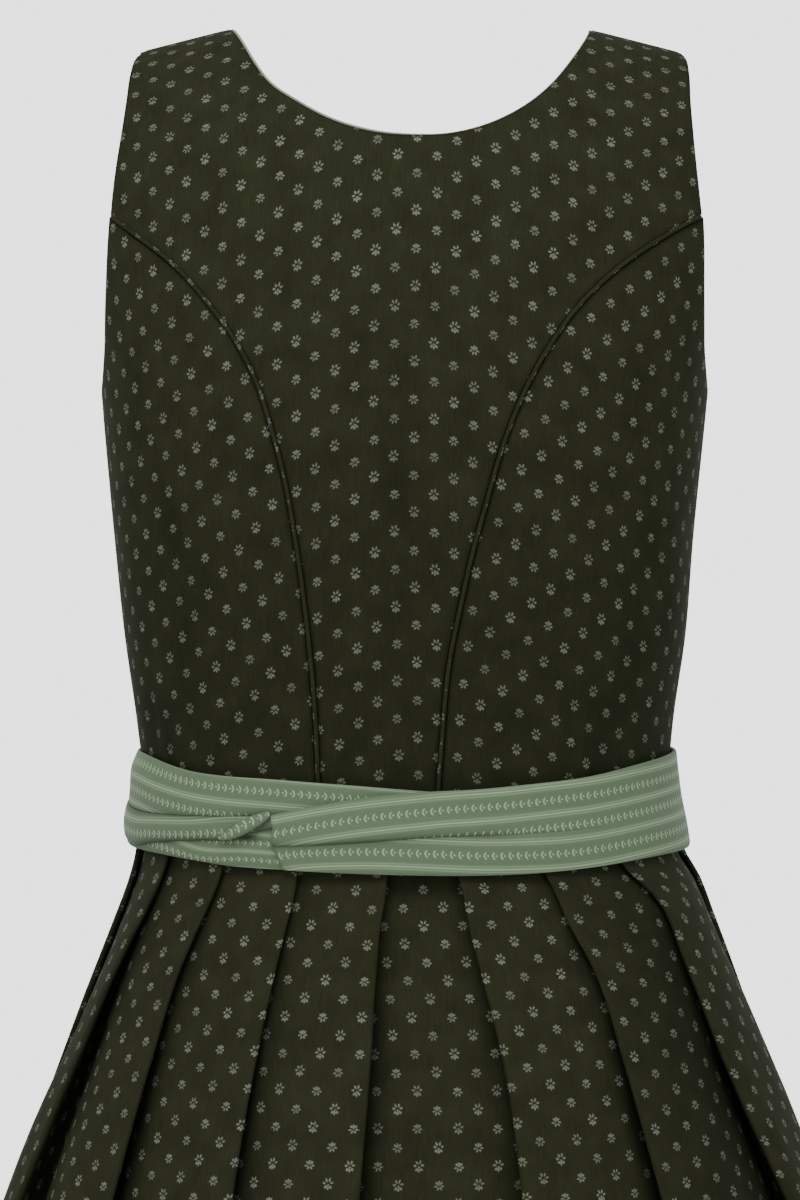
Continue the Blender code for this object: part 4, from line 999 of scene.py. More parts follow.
# The printed cotton of each piece: name, ground, darker ground, turn on the bias, shift of
# the print in millimetres, strength of the print
PRINTED = {
    "centre": ("centre", "cotton", "cotton_low", 0.0, (0.0, 7.5), 1.0),
    "side_left": ("left side", "cotton", "cotton_low", 0.0, (3.1, 2.0), 1.0),
    "side_right": ("right side", "cotton", "cotton_low", 0.0, (5.4, 6.1), 1.0),
    "skirt": ("skirt", "cotton", "cotton_low", 0.0, (1.7, 4.4), 1.0),
    "bias": ("bias cut", "cotton", "cotton_low", math.pi / 4, (0.0, 0.0), 0.75),
    "wrong": ("wrong side", "cotton_wrong", "cotton", 0.0, (0.0, 0.0), 0.3),
}
PLAIN = {"sash": woven_sash, "facing": facing_cotton, "horn": button_horn,
         "thread": sewing_thread}
FINISH = {}


def finish(kind):
    """A finish of the dress, made once."""
    if kind not in FINISH:
        FINISH[kind] = printed_cotton(*PRINTED[kind]) if kind in PRINTED else PLAIN[kind]()
    return FINISH[kind]


# ------------------------------------------------------------------ skirt
# Shares of a fold's face at which its cloth has a point
STEPS = (0.03, 0.08, 0.14, 0.22, 0.31, 0.40, 0.5, 0.6, 0.7, 0.8, 0.9, 0.96)


def edge_angle(k, z):
    """Where fold k's pressed edge lies at height z, radians from the centre back."""
    table = np.c_[EDGE_Z, np.array(EDGES)[k, :7]]
    return math.radians(float(smooth(table, z, 1)))


def oval(table, z, phi, off, k, inside=0.0):
    """Points off mm outside an oval whose half width and depths at height z a table gives,
    less the cloth inside it. phi is measured from the centre back and k squares it."""
    a = smooth(table, z, 2) - inside
    b = np.where(np.cos(phi) < 0, smooth(table, z, 4), smooth(table, z, 3)) - inside
    s, c = np.sin(phi), np.cos(phi)
    x, y = smooth(table, z, 1) + a * s, -b * c * (1 + k * s * s)
    dx, dy = a * c, b * s * (1 + k * s * s) - 2 * b * c * c * k * s
    run = np.hypot(dx, dy)
    return np.stack([x + off * dy / run, y - off * dx / run, z], -1)


def skirt_base(z, phi, off):
    """Points off mm outside the line that the skirt's inner creases lie on."""
    return oval(SKIRT, z, phi, off, smooth(SKIRT, z, 5), smooth(SKIRT, z, 6) + SKIRT_CLOTH / 2)


# Painted shade in the valley beside a pressed edge: fold, strength, reach in millimetres
PAINTED_VALLEY_SHADE = {0: (0.5, 6), 1: (0.6, 7), 2: (0.6, 7), 3: (0.6, 8), 4: (0.95, 13), 5: (1.0, 9),
           6: (0.75, 5.5), 7: (0.8, 7), 8: (0.8, 7), 9: (0.45, 4), 10: (0.75, 5.5),
           11: (0.5, 60), 12: (0.15, 5), 13: (0.6, 7), 14: (0.6, 7), 15: (0.5, 6)}


def valley_shade(levels, phi, owner):
    """0 to 1 at each point of the skirt: the painted shade of the valleys between pleats."""
    shade = np.zeros(phi.shape)
    girth = np.array([float(smooth(SKIRT, z, 2)) for z in levels])[:, None]
    loose = np.array([float(smooth(SKIRT, z, 8)) for z in levels])[:, None]
    for k, (strength, reach) in PAINTED_VALLEY_SHADE.items():
        sign = 1 if k < FIRST_RIGHT else -1
        below = -1 if k in (FIRST_RIGHT - 1, FIRST_RIGHT) else k + sign
        cols = np.nonzero(owner == below)[0]
        edge = np.array([edge_angle(k, float(z)) for z in levels])[:, None]
        far = np.maximum(sign * (phi[:, cols] - edge) * girth, 0)
        grow = 0.45 + 0.55 * np.sqrt(loose)
        near = strength * grow * np.exp(-(far / reach / grow)**1.6)
        shade[:, cols] = np.maximum(shade[:, cols], near)
    return shade


# Soft ridges and hollows along the pleats: fold, share of its face, half width as a
# share, height, then the heights where it starts and is full
SWELLS = [
    (12, 0.10, 0.05, -2.2, -400, -470), (11, 0.10, 0.07, 1.6, -470, -560),
    (11, 0.45, 0.16, 2.2, -450, -560), (10, 0.40, 0.15, 2.0, -450, -580),
    (9, 0.45, 0.18, -1.6, -460, -600), (8, 0.40, 0.16, 1.8, -440, -580),
    (7, 0.42, 0.15, -1.8, -450, -600), (6, 0.36, 0.14, 2.0, -440, -580),
    (5, 0.30, 0.10, 2.4, -450, -560), (5, 0.62, 0.12, -2.0, -450, -560),
    (4, 0.40, 0.16, 1.8, -440, -600), (3, 0.45, 0.16, -2.0, -440, -600),
    (2, 0.40, 0.16, 2.0, -440, -600), (1, 0.45, 0.16, -1.8, -440, -600),
    (13, 0.40, 0.16, 2.0, -440, -600), (14, 0.45, 0.16, -1.8, -440, -600),
]


FOLD_TIGHT, FOLD_LOOSE = 1.6, 1.4       # room inside a fold, pressed, and more where free
BOX_BOW, BOX_BOW_HIGH = 2.6, 16.0       # how far the back box bows at this fold height
BOX_DIP, BOX_DIP_AT, BOX_DIP_WIDE = 1.6, 0.62, 0.12     # hollow down the box, as shares
EDGE_EASE, CREASE_EASE = 0.003, 0.004   # radians that free cloth springs back


def skirt_row(z):
    """The skirt's middle line at height z, once round from the centre front: a list of
    (phi, off, fold), where fold names the pressed edge whose cloth it belongs to."""
    lay = float(smooth(SKIRT, z, 7))
    loose = float(smooth(SKIRT, z, 8))
    high = float(smooth(SKIRT, z, 6))
    fold = FOLD_TIGHT + FOLD_LOOSE * loose
    girth = float(smooth(SKIRT, z, 2))
    turn = 0.25 * fold / girth
    angles = [edge_angle(k, z) for k in range(len(EDGES))]
    proud = [1 + (row[7] - 1) * min(1, 0.1 + loose) for row in EDGES]
    spare = [abs(a - b) for a, b in zip(angles[1:FIRST_RIGHT], angles)]
    spare = [spare[0]] + spare
    spare += [abs(b - a) for a, b in zip(angles[FIRST_RIGHT:], angles[FIRST_RIGHT + 1:])]
    spare += [spare[-1]]

    def swell(k, t):
        out = 0.0
        for which, at, wide, height, start, full in SWELLS:
            if which == k:
                grow = np.clip((start - z) / (start - full), 0, 1)
                out += height * grow * grow * (3 - 2 * grow) * math.exp(-((t - at) / wide)**2)
        return out

    def face(k, other, sign):
        """From fold k's pressed edge to its inner crease under fold `other`, then back
        out underneath to that fold's edge."""
        width = abs(angles[other] - angles[k])
        hidden = lay * min(width, spare[other])
        total = width + hidden
        h0, h1 = high * proud[k], high * proud[other]
        out = [(angles[k] - sign * turn, h0 - 0.35 * fold, k), (angles[k], h0 - 0.05, k)]
        for t in STEPS:
            flat, eased = 1 - t, 1 - t**2.2
            rise = h0 * (flat + (eased - flat) * loose) + swell(k, t) * loose
            out.append((angles[k] + sign * total * t, rise, k))
        crease = angles[k] + sign * total
        out.append((crease, 0.0, k))
        first = crease - sign * CREASE_EASE * loose
        end = angles[other] + sign * EDGE_EASE * loose
        out.append((first, fold, other))
        for t in (0.25, 0.5, 0.75):
            ease = t + (0.06 * loose * math.sin(math.pi * t))
            out.append((first + (end - first) * t, fold + (h1 - 2 * fold) * ease, other))
        return out + [(end, h1 - fold, other)]

    last = len(EDGES) - 1
    left = [p for k in range(FIRST_RIGHT - 1, 0, -1) for p in face(k, k - 1, -1)][::-1]
    right = [p for k in range(FIRST_RIGHT, last) for p in face(k, k + 1, 1)]
    kl, kr = FIRST_RIGHT - 1, FIRST_RIGHT
    wide = angles[kr] - angles[kl]
    under = min(spare[kl], spare[kr]) * lay
    hl, hr = high * proud[kl], high * proud[kr]
    middle = [(angles[kl] - EDGE_EASE * loose, hl - fold, kl),
              (angles[kl] - under * 0.5, (hl - fold) * 0.55 + fold * 0.45, kl),
              (angles[kl] - under, fold, kl), (angles[kl] - under, 0.0, kl)]
    for t in np.linspace(0.06, 0.94, 15):
        phi = angles[kl] - under + (wide + 2 * under) * t
        bow = (BOX_BOW * loose * high / BOX_BOW_HIGH) * math.sin(math.pi * t)
        dip = -BOX_DIP * loose * math.exp(-((t - BOX_DIP_AT) / BOX_DIP_WIDE)**2)
        middle.append((phi, bow + dip, -1))
    middle += [(angles[kr] + under, 0.0, kr), (angles[kr] + under, fold, kr),
               (angles[kr] + under * 0.5, (hr - fold) * 0.55 + fold * 0.45, kr),
               (angles[kr] + EDGE_EASE * loose, hr - fold, kr)]
    gap = 0.5 * GAP / girth
    fr = [(angles[last] - turn, high - 0.35 * fold, last), (angles[last], high - 0.05, last)]
    fr += [(angles[last] + (math.pi - gap - angles[last]) * t, high, last)
           for t in np.linspace(0.04, 1.0, 12)]
    fl = [(-math.pi + gap + (angles[0] + math.pi - gap) * t, high, 0)
          for t in np.linspace(0, 0.96, 12)]
    fl += [(angles[0], high - 0.05, 0), (angles[0] + turn, high - 0.35 * fold, 0)]
    return fl + left + middle + right + fr


def mitred(row, dist):
    """A row of points moved sideways by dist in its own level, corners kept square."""
    d = np.diff(row[:, :2], axis=0)
    size = np.maximum(np.linalg.norm(d, axis=1, keepdims=True), 1e-6)
    n = np.stack([d[:, 1], -d[:, 0]], 1) / size
    a, b = np.vstack([n[:1], n]), np.vstack([n, n[-1:]])
    m = a + b
    size = np.linalg.norm(m, axis=1, keepdims=True)
    m = np.where(size < 0.2, a, m / np.maximum(size, 1e-6))
    dot = np.maximum((m * a).sum(1, keepdims=True), 0.62)
    out = row.copy()
    out[:, :2] += m / dot * dist
    return out


LEVEL_STEP = 26.0       # height that the panel's detail divides
FOLD_SHIFT = 31.0       # of the print from one fold's cloth to the next


def build_skirt():
    """Pleats the three skirt panels and gives the lines of the hem's stitches."""
    detail = bpy.context.scene.dress_sizes.detail
    keys = SKIRT[:, 0]
    counts = [max(2, round((a - b) / LEVEL_STEP * detail) + 1) for a, b in zip(keys, keys[1:])]
    levels = np.unique(np.concatenate([np.linspace(a, b, count) for a, b, count
                                       in zip(keys, keys[1:], counts)]))[::-1]
    rows = [skirt_row(float(z)) for z in levels]
    phi = np.array([[p for p, _, _ in row] for row in rows])
    off = np.array([[o for _, o, _ in row] for row in rows])
    owner = np.array([k for _, _, k in rows[0]])
    pts = skirt_base(np.repeat(levels[:, None], phi.shape[1], 1), phi, off)
    # painted shade in the valleys between the pleats
    hollow = valley_shade(levels, phi, owner)
    # each side seam lies on the hidden layer of a fold, and parts the cloth by the gap
    cuts = []
    for k, inner_first in zip(SIDE_SEAMS, (True, False)):
        cols = np.nonzero(owner == k)[0]
        deep = int(cols[np.argmin(np.abs(off[0, cols]))])
        at = deep if inner_first else deep - 1
        step = pts[:, at + 1] - pts[:, at]
        share = GAP / 2 / np.linalg.norm(step, axis=1)[:, None]
        pair = [pts[:, at] + step * (0.5 - share), pts[:, at] + step * (0.5 + share)]
        cuts.append((at + 1, pair, k))
    for at, pair, k in reversed(cuts):
        pts = np.insert(pts, [at, at], np.stack(pair, 1), 1)
        owner = np.insert(owner, at, [k, k])
        hollow = np.insert(hollow, [at, at], hollow[:, at:at + 1], 1)
        off = np.insert(off, [at, at], off[:, at:at + 1], 1)
    left_seam, right_seam = cuts[0][0], cuts[1][0] + 2
    outer = np.array([mitred(row, SKIRT_CLOTH / 2) for row in pts])
    inner = np.array([mitred(row, -SKIRT_CLOTH / 2) for row in pts])
    across = np.c_[np.zeros(len(pts)),
                   np.cumsum(np.linalg.norm(np.diff(pts, axis=1), axis=2), 1)]
    down = np.vstack([np.zeros(pts.shape[1]),
                      np.cumsum(np.linalg.norm(np.diff(pts, axis=0), axis=2), 0)])
    # the cloth of each fold hangs straight from its own pressed edge
    home = {}
    for k in set(owner.tolist()):
        cols = np.nonzero(owner == k)[0]
        proud = cols[off[0, cols].max() - off[0, cols] < 0.2]
        home[k] = int(proud[0] if k >= 0 else np.median(cols))

    def strip(name, first, last):
        rows, cols = len(levels), last + 1 - first
        n = rows * cols
        verts = np.concatenate([half[:, first:last + 1].reshape(-1, 3)
                                for half in (outer, inner)])
        faces, uvs, kinds = [], [], []
        for c in range(first, last):
            own = max(owner[c], owner[c + 1])
            h = home[own]
            base = float(across[0, h]) + FOLD_SHIFT * own
            for r in range(rows - 1):
                quad = [(base + across[i, j] - across[i, h], -down[i, j])
                        for i, j in ((r, c), (r, c + 1), (r + 1, c + 1), (r + 1, c))]
                pair, spread = two_faced(r, c - first, cols, n, quad)
                faces += pair
                uvs += spread
                kinds += [0, 1]
        ids = [r * cols + c for r, c in rim_of(rows, cols)]
        for a, b in zip(ids, ids[1:] + ids[:1]):
            faces.append((b, a, n + a, n + b))
            uvs += [(0.0, -1.0), (1.0, -1.0), (1.0, -2.0), (0.0, -2.0)]
            kinds.append(0)
        obj = make(name, verts, faces, [finish("skirt"), finish("wrong")], uvs, kinds)
        # the strip's share of the painted shade
        keep_painted_shade(obj, hollow[:, first:last + 1].ravel())
        dress(obj)

    strip("skirt_front_left", 0, left_seam)
    strip("skirt_back", left_seam + 1, right_seam)
    strip("skirt_front_right", right_seam + 1, pts.shape[1] - 1)
    return np.split(outer[np.argmin(np.abs(levels - HEM_LINE_Z))],
                    [left_seam + 1, right_seam + 1])


# ------------------------------------------------------------------ bodice
def build_bodice():
    """Cuts the seven bodice panels, and gives the back centre's grids."""
    back = centre_back_grid()
    panel("bodice_back_centre", -1, back, float(uv(-1, -17.0, -250.0)[0]))
    for hand, sign in (("left", -1), ("right", 1)):
        for side, place in ((-1, "back"), (1, "front")):
            panel(f"bodice_{place}_side_{hand}", side, side_grid(side, sign), sign * 0.95,
                  "side_" + hand)
        panel(f"bodice_front_{hand}", 1, front_grid(sign), sign * 0.3)
    return back


def allowance(name, side, points):
    """Seam allowance pressed flat behind a seam, so that no light shows through it."""
    place = body(side, points[..., 0], points[..., 1])
    panel(name, side, [points], float(points[..., 0].mean()), "wrong", wall=ALLOWANCE_WALL,
          outside=-(CLOTH + EDGE_DIP + 0.15), dip=0.1)


def build_allowances():
    """The allowances behind the princess seams and the side seams."""
    across = np.array([-1.0, -0.5, 0.0, 0.5, 1.0])
    for sign, hand in ((-1, "left"), (1, "right")):
        for side, place in ((-1, "back"), (1, "front")):
            line = seam_line(side, sign)
            run = run_of(body(side, *line.T))
            keep = np.linspace(10.0, run[-1] - 2.2, 90)
            line = np.stack([np.interp(keep, run, line[:, c]) for c in (0, 1)], 1)
            wide = np.minimum(ALLOWANCE, 2.3 + 0.7 * (keep[-1] - keep))[:, None]
            points = np.stack([shifted(side, line, wide * a) for a in across], 1)
            allowance(f"seam_allowance_{place}_{hand}", side, points)
        top = BACK_UNDERARM[-1][1] - 1.2
        heights = np.linspace(WAIST_Z + 10, top, 60)[:, None]
        psi = sign * (math.pi / 2 + 0.058 * across)[None]
        x = body_x(heights, psi)
        points = uv(1, x, np.broadcast_to(heights, x.shape))
        points[..., 0] = psi
        allowance(f"seam_allowance_side_{hand}", 1, points)


def build_facing(back):
    """Strip inside the back neckline, whose edge peeks over it on the left."""
    grid = back[1]
    u = shares(BACK_COLUMNS)
    keep = np.nonzero((u >= STRAP_SHARE - 1e-9) & (u <= 1 - STRAP_SHARE + 1e-9))[0]
    g = grid[int(len(grid) * 2 / 3):, keep[0]:keep[-1] + 1].copy()
    peek = np.interp(np.linspace(0, 1, g.shape[1]), [0, 0.06, 0.45, 0.6, 0.94, 1],
                     [0, 0.9, 0.8, 0.25, 0.25, 0])
    ripple = 0.12 * np.sin(np.arange(g.shape[1]) * 2.1)
    g[-1, :, 1] = np.maximum(g[-1, :, 1] - peek - ripple * (peek > 0.3), GAP / 2)
    rim = body(-1, *g[-1].T)
    deep = np.linalg.norm(body(-1, *g[0].T) - rim, axis=1).mean()
    long = run_of(rim)[-1]
    panel("neck_facing", -1, [g], 0.0, "facing", "facing", FACING_CLOTH,
          -(CLOTH + GAP), dip=0.3)
    # its rolled edge lies on the neckline, thick on the left and fading to the right
    edge = grid[-1, keep[0]:keep[-1] + 1]
    share = np.linspace(0.012, 0.985, 700)
    line = pick(edge, share)
    thick = np.interp(share, [0, 0.03, 0.42, 0.55, 0.9, 1], [0.15, 0.62, 0.6, 0.22, 0.28, 0.1])
    twist = 1 + 0.22 * np.sin(np.linspace(0, 1, 700) * long / 1.5 * math.tau)
    tan = np.gradient(body(-1, *line.T), axis=0)
    nrm = normals(-1, line)
    away = np.cross(tan / np.linalg.norm(tan, axis=1, keepdims=True), nrm)
    away *= np.sign(away[:, 2:])
    centre = body(-1, *line.T) - nrm * 0.45 + away * thick[:, None] * 0.8
    rope = tube("neck_edge", centre, np.stack([thick * twist, thick * twist], 1), 8, "facing")
    dress(rope)


def build_piping():
    """Sews a cord into each princess seam."""
    for side, place in ((-1, "back"), (1, "front")):
        for sign, hand in ((-1, "left"), (1, "right")):
            line = seam_line(side, sign)
            line[0] = waist_uv(side, line[:1, 0])[0]
            line = pick(line, np.linspace(0, PIPING_END, 161))
            pts = body(side, *line.T)
            lift = PIPING_PROUD - CLOTH / 2 + trough(side, pts)
            centre = pts + normals(side, line) * lift[:, None]
            radii = np.full((len(centre), 2), PIPING_R)
            dress(tube(f"piping_{place}_{hand}", centre, radii, 14, "bias"))


# ------------------------------------------------------------------ sash
def sash_base(z, phi, off):
    """Points off mm outside the sash's middle surface where it lies flat."""
    return oval(SASH_FORM, z, phi, off, 0.1)


def smoothstep(a, b, x):
    """0 below a, 1 above b, and an easy curve between them."""
    t = np.clip((x - a) / (b - a), 0, 1)
    return t * t * (3 - 2 * t)


def sheet_normals(mid):
    """Unit normals of a grid of points, away from the dress's middle."""
    n = np.cross(np.gradient(mid, axis=1), np.gradient(mid, axis=0))
    n /= np.linalg.norm(n, axis=-1, keepdims=True)
    return n * np.sign((n * mid * [1, 1, 0]).sum(-1))[..., None]


RIM_TURN = 1.2          # cloth that turns round the sash's edge


def build_sash(tuck):
    """Wraps the sash once round the waist, over itself at the back left, in three rolls."""
    degs = np.linspace(SASH[0, 0], SASH[-1, 0], 396)
    bottom, low, high, top = (smooth(SASH, degs, c) for c in (1, 2, 3, 4))
    rolls = [smooth(SASH, degs, c) for c in (5, 6, 7)]
    # the woven rows bend softly where the folds take up more or less cloth
    first, h_high, h_low = (np.convolve(np.pad(np.interp(degs, WEAVE[:, 0], WEAVE[:, c]), 5,
                                               "edge"), np.ones(11) / 11, "valid")
                            for c in (1, 2, 3))
    creased = smoothstep(245, 262, degs) * (1 - smoothstep(328, 337, degs))
    wrap = 1 - smoothstep(22, 48, degs)
    at_end = np.clip((-18 - degs) / 11, 0, 1)
    near = np.array([0.0, 0.015, 0.04, 0.08, 0.15, 0.25, 0.37, 0.5, 0.63, 0.75, 0.85, 0.92,
                     0.96, 0.985, 1.0])
    # dark keeps the painted shade of each row of the sash
    mids, weave, dark = [], [], []
    for roll, (lo, hi) in enumerate(((bottom, low), (low, high), (high, top))):
        for t in near[(1 if roll else 0):]:
            z = lo + (hi - lo) * t
            off = (rolls[0] + (rolls[1] - rolls[0]) * smoothstep(low - 0.8, low + 0.3, z)
                   + (rolls[2] - rolls[1]) * smoothstep(high - 0.3, high + 0.8, z))
            # each roll swells, and its creases and edges turn in
            swell = math.sin(math.pi * t)**0.7 * (0.55 * creased + 0.25 * wrap)
            pinch = (1.35 * creased * np.exp(-((z - high) / 0.55)**2)
                     + (1.1 * creased + 1.0 * wrap) * np.exp(-((z - low) / 0.5)**2))
            edge = 0.55 * np.exp(-((z - top) / 0.8)**2) + 0.5 * np.exp(-((z - bottom) / 0.8)**2)
            # the top edge lies close to the waist at the side
            flush = (3.0 * smoothstep(236, 262, degs) * (1 - smoothstep(292, 312, degs))
                     * np.exp(-((z - top) / 6.0)**2))
            # faint slanting drag lines on the flat part
            drag = 0.35 * np.sin(np.radians(degs) * 7 + z * 0.16) * smoothstep(40, 90, degs)
            slant = 2.6 * (1 - (z - bottom) / (top - bottom))
            # the free end is cut on a slant and bows in at its middle
            bow = 0.9 * math.sin(math.pi * min(1.0, (roll + t) / 2.0))
            phi = np.radians(degs + 0.8 + slant * at_end - bow * at_end)
            mids.append(sash_base(z, phi, off + swell - pinch - edge - flush + drag * 0.6))
            # painted shade in the pocket beside the tuck and along both creases
            pocket_shade = 0.95 * np.exp(-((degs - 326.0) / 2.6)**2 - ((z + 395.0) / 1.5)**2)
            dark.append(np.clip(pocket_shade + 0.85 * creased * np.exp(-np.abs(z - high) / 1.3)
                                + (0.85 * creased + 0.8 * wrap * (1 - smoothstep(14, 26, degs)))
                                * np.exp(-np.abs(z - low) / 1.3), 0, 1))
            v = z - top + first
            v = v - np.where(z < high - 1e-6, h_high, 0) - np.where(z < low - 1e-6, h_low, 0)
            # the lowest roll stretches about its leaf row, next to the tuck
            if roll == 0:
                v = z - top + first - h_high - h_low
                row = REPEAT * np.round((bottom + (low - bottom) * 0.27 - top + first
                                         - h_high - h_low) / REPEAT)
                v = row + (v - row) * (1 + 0.6 * smoothstep(296, 324, degs))
            weave.append(v)
    mid, weave = np.array(mids), np.array(weave)
    nrm = sheet_normals(mid)
    outer, inner = mid + nrm * SASH_CLOTH / 2, mid - nrm * SASH_CLOTH / 2
    girth = run_of(mid[len(mid) // 2])
    girth = -np.abs(girth - np.interp(180, degs, girth))
    rows, cols = weave.shape
    n = rows * cols
    faces, uvs = [], []
    # above each crease the weave goes on without the cloth that the crease swallows
    taken = {len(near) - 1: h_high, 2 * len(near) - 2: 0.0}
    for r in range(rows - 1):
        below, above = weave[r], weave[r + 1]
        if r in taken:
            below = mid[r, :, 2] - top + first - taken[r]
        for c in range(cols - 1):
            quad = [(girth[c], below[c]), (girth[c + 1], below[c + 1]),
                    (girth[c + 1], above[c + 1]), (girth[c], above[c])]
            pair, spread = two_faced(r, c, cols, n, quad)
            faces += pair
            uvs += spread
    rim = rim_of(rows, cols)
    for (r0, c0), (r1, c1) in zip(rim, rim[1:] + rim[:1]):
        a, b = r0 * cols + c0, r1 * cols + c1
        faces.append((b, a, n + a, n + b))
        uvs += [(girth[c1], weave[r1, c1]), (girth[c0], weave[r0, c0]),
                (girth[c0], weave[r0, c0] + RIM_TURN), (girth[c1], weave[r1, c1] + RIM_TURN)]
    verts = np.concatenate([outer.reshape(-1, 3), inner.reshape(-1, 3)])
    obj = make("sash_band", verts, faces, [finish("sash")], uvs)
    # the sash's painted shade, in the creases and beside the tuck
    keep_painted_shade(obj, np.array(dark).ravel())
    dress(obj)


def build_tuck():
    """Rolls the end of the sash where it is tucked in."""
    share = np.linspace(0, 1, 61)
    run = np.linspace(0, 1, len(TUCK))
    t = np.stack([smooth(np.c_[run, TUCK[:, c]], share, 1) for c in range(5)], 1)
    centre = sash_base(t[:, 1], np.radians(t[:, 0]), t[:, 4])
    obj = tube("sash_tuck", centre, t[:, [3, 2]], 28, "sash")
    # the woven rows run along the roll
    layer = obj.data.uv_layers["cloth"].data
    flat = np.empty(len(layer) * 2)
    layer.foreach_get("uv", flat)
    flat = flat.reshape(-1, 2)[:, ::-1] * [-1, 1]
    layer.foreach_set("uv", flat.ravel())
    return dress(obj)


# ------------------------------------------------------------------ placket and buttons
def placket_ends():
    """How far down from the shoulder line the placket starts and ends."""
    return [float(uv(1, 0.0, z)[1]) for z in (PLACKET_TOP_Z, PLACKET_FOOT_Z)]


def placket_grid(rows, cols, inset=0.0):
    """A grid over the placket, as far inside its edge as inset."""
    top, foot = placket_ends()
    reach = math.asin((PLACKET_W / 2 - inset) / FRONT_HALF)
    return np.stack(np.meshgrid(np.linspace(-reach, reach, cols),
                                np.linspace(top + inset, foot - inset, rows)), -1)


def build_placket():
    """Makes the placket and gives the lines of its two rows of stitches."""
    face = PLACKET_LIFT + CLOTH
    panel("front_placket", 1, [placket_grid(90, 17)], 0.0, outside=face, dip=0.35)
    g = placket_grid(200, 2, 2.2)
    return [body(1, *edge.T) + normals(1, edge) * (face + 0.05) for edge in (g[:, 0], g[:, 1])]


def button_places():
    """Number, foot, outward normal and the two directions in the plane of each button."""
    top, foot = placket_ends()
    for i in range(BUTTONS):
        at = np.array([[0.0, top + (foot - top) * (i + 0.5) / BUTTONS]])
        p, n = body(1, *at.T)[0], normals(1, at)[0]
        across = np.array([1.0, 0, 0])
        yield i + 1, p + n * (PLACKET_LIFT + CLOTH + GAP), n, across, np.cross(across, n)


# Turned button: share of the radius, millimetres above the cloth
BUTTON_TURN = [(0.0, 0.2), (0.55, 0.05), (0.88, 0.0), (0.96, 0.35), (1.0, 0.9), (0.995, 1.5),
               (0.96, 2.1), (0.88, 2.5), (0.78, 2.55), (0.68, 2.3), (0.6, 1.95), (0.45, 1.8),
               (0.2, 1.75), (0.0, 1.75)]
CROSS_REACH, CROSS_Z, CROSS_RISE, CROSS_R = 1.35, 1.55, 0.75, 0.3   # its cross of thread


def build_buttons():
    """Turns the buttons and lays a cross of thread over each."""
    seg = 48
    ang = np.linspace(0, 2 * math.pi, seg, endpoint=False)
    rings = BUTTON_TURN[1:-1]
    for number, start, n, across, up in button_places():
        verts = [start + n * lift + BUTTON_R * share * (across * math.cos(a) + up * math.sin(a))
                 for share, lift in rings for a in ang]
        verts += [start + n * BUTTON_TURN[0][1], start + n * BUTTON_TURN[-1][1]]
        foot, head, top = len(verts) - 2, len(verts) - 1, (len(rings) - 1) * seg
        faces = []
        for j in range(len(rings) - 1):
            for s in range(seg):
                a, b = j * seg + s, j * seg + (s + 1) % seg
                faces.append((a, b, b + seg, a + seg))
        faces += [(foot, (s + 1) % seg, s) for s in range(seg)]
        faces += [(head, top + s, top + (s + 1) % seg) for s in range(seg)]
        dress(make(f"button_{number}", verts, faces, [finish("horn")]))
        t = np.linspace(0, 1, 9)[:, None]
        middle = start + n * CROSS_Z
        for i, sx in enumerate((1, -1)):
            arm = CROSS_REACH * (across * sx + up)
            path = middle + arm * (1 - 2 * t) + n * (CROSS_RISE * np.sin(math.pi * t))
            dress(tube(f"button_thread_{number}_{i}", path, np.full((9, 2), CROSS_R), 8,
                       "thread"))


# ------------------------------------------------------------------ stitches
STITCH_PITCH = 1.35     # lengths of a stitch from one to the next


def stitch_tree():
    """Geometry Nodes group: lays stitches of a given length end to end along a curve."""
    tree = bpy.data.node_groups.new("running_stitch", "GeometryNodeTree")
    face = tree.interface
    face.new_socket("Geometry", in_out="INPUT", socket_type="NodeSocketGeometry")
    for name, kind in (("Pitch", "Float"), ("Length", "Float"), ("Thread", "Float"),
                       ("Seed", "Int"), ("Material", "Material")):
        face.new_socket(name, in_out="INPUT", socket_type="NodeSocket" + kind)
    face.new_socket("Geometry", in_out="OUTPUT", socket_type="NodeSocketGeometry")
    start = node(tree, "NodeGroupInput").outputs
    points = node(tree, "GeometryNodeCurveToPoints", mode="LENGTH", Curve=start["Geometry"],
                  Length=start["Pitch"])
    thread = node(tree, "GeometryNodeMeshUVSphere", Segments=6, Rings=5, Radius=1.0)
    size = node(tree, "CombineXYZ", node(tree, "Math MULTIPLY", start["Length"], 0.5),
                start["Thread"], start["Thread"])
    turn = node(tree, "FunctionNodeAlignRotationToVector", axis="X",
                Vector=points.outputs["Tangent"])
    lean = node(tree, "FunctionNodeRandomValue", data_type="FLOAT", Seed=start["Seed"],
                i2=0.85, i3=1.1)
    scale = node(tree, "VectorMath SCALE", size, Scale=lean.outputs[1])
    copies = node(tree, "GeometryNodeInstanceOnPoints", Points=points, Instance=thread,
                  Rotation=turn, Scale=scale)
    real = node(tree, "GeometryNodeRealizeInstances", Geometry=copies)
    coated = node(tree, "GeometryNodeSetMaterial", Geometry=real, Material=start["Material"])
    node(tree, "NodeGroupOutput", coated)
    return tree


def sew_stitches(name, lines):
    """Rows of stitches along lines of points, as one plain mesh."""
    sizes = bpy.context.scene.dress_sizes
    curve = bpy.data.curves.new(name + "_path", "CURVE")
    curve.dimensions = "3D"
    for line in lines:
        spline = curve.splines.new("POLY")
        spline.points.add(len(line) - 1)
        spline.points.foreach_set("co", np.c_[line * MM, np.ones(len(line))].ravel())
    path = link(name + "_path", curve)
    tree = bpy.data.node_groups.get("running_stitch") or stitch_tree()
    mod = path.modifiers.new("stitches", "NODES")
    mod.node_group = tree
    values = {"Pitch": sizes.stitch * STITCH_PITCH, "Length": sizes.stitch,
              "Thread": sizes.thread, "Seed": 7, "Material": finish("thread")}
    for item in tree.interface.items_tree:
        if item.in_out == "INPUT" and item.name in values:
            mod[item.identifier] = values[item.name]
    graph = bpy.context.evaluated_depsgraph_get()
    mesh = bpy.data.meshes.new_from_object(path.evaluated_get(graph))
    bpy.data.objects.remove(path)
    mesh.name = name
    mesh.shade_smooth()
    dress(link(name, mesh))


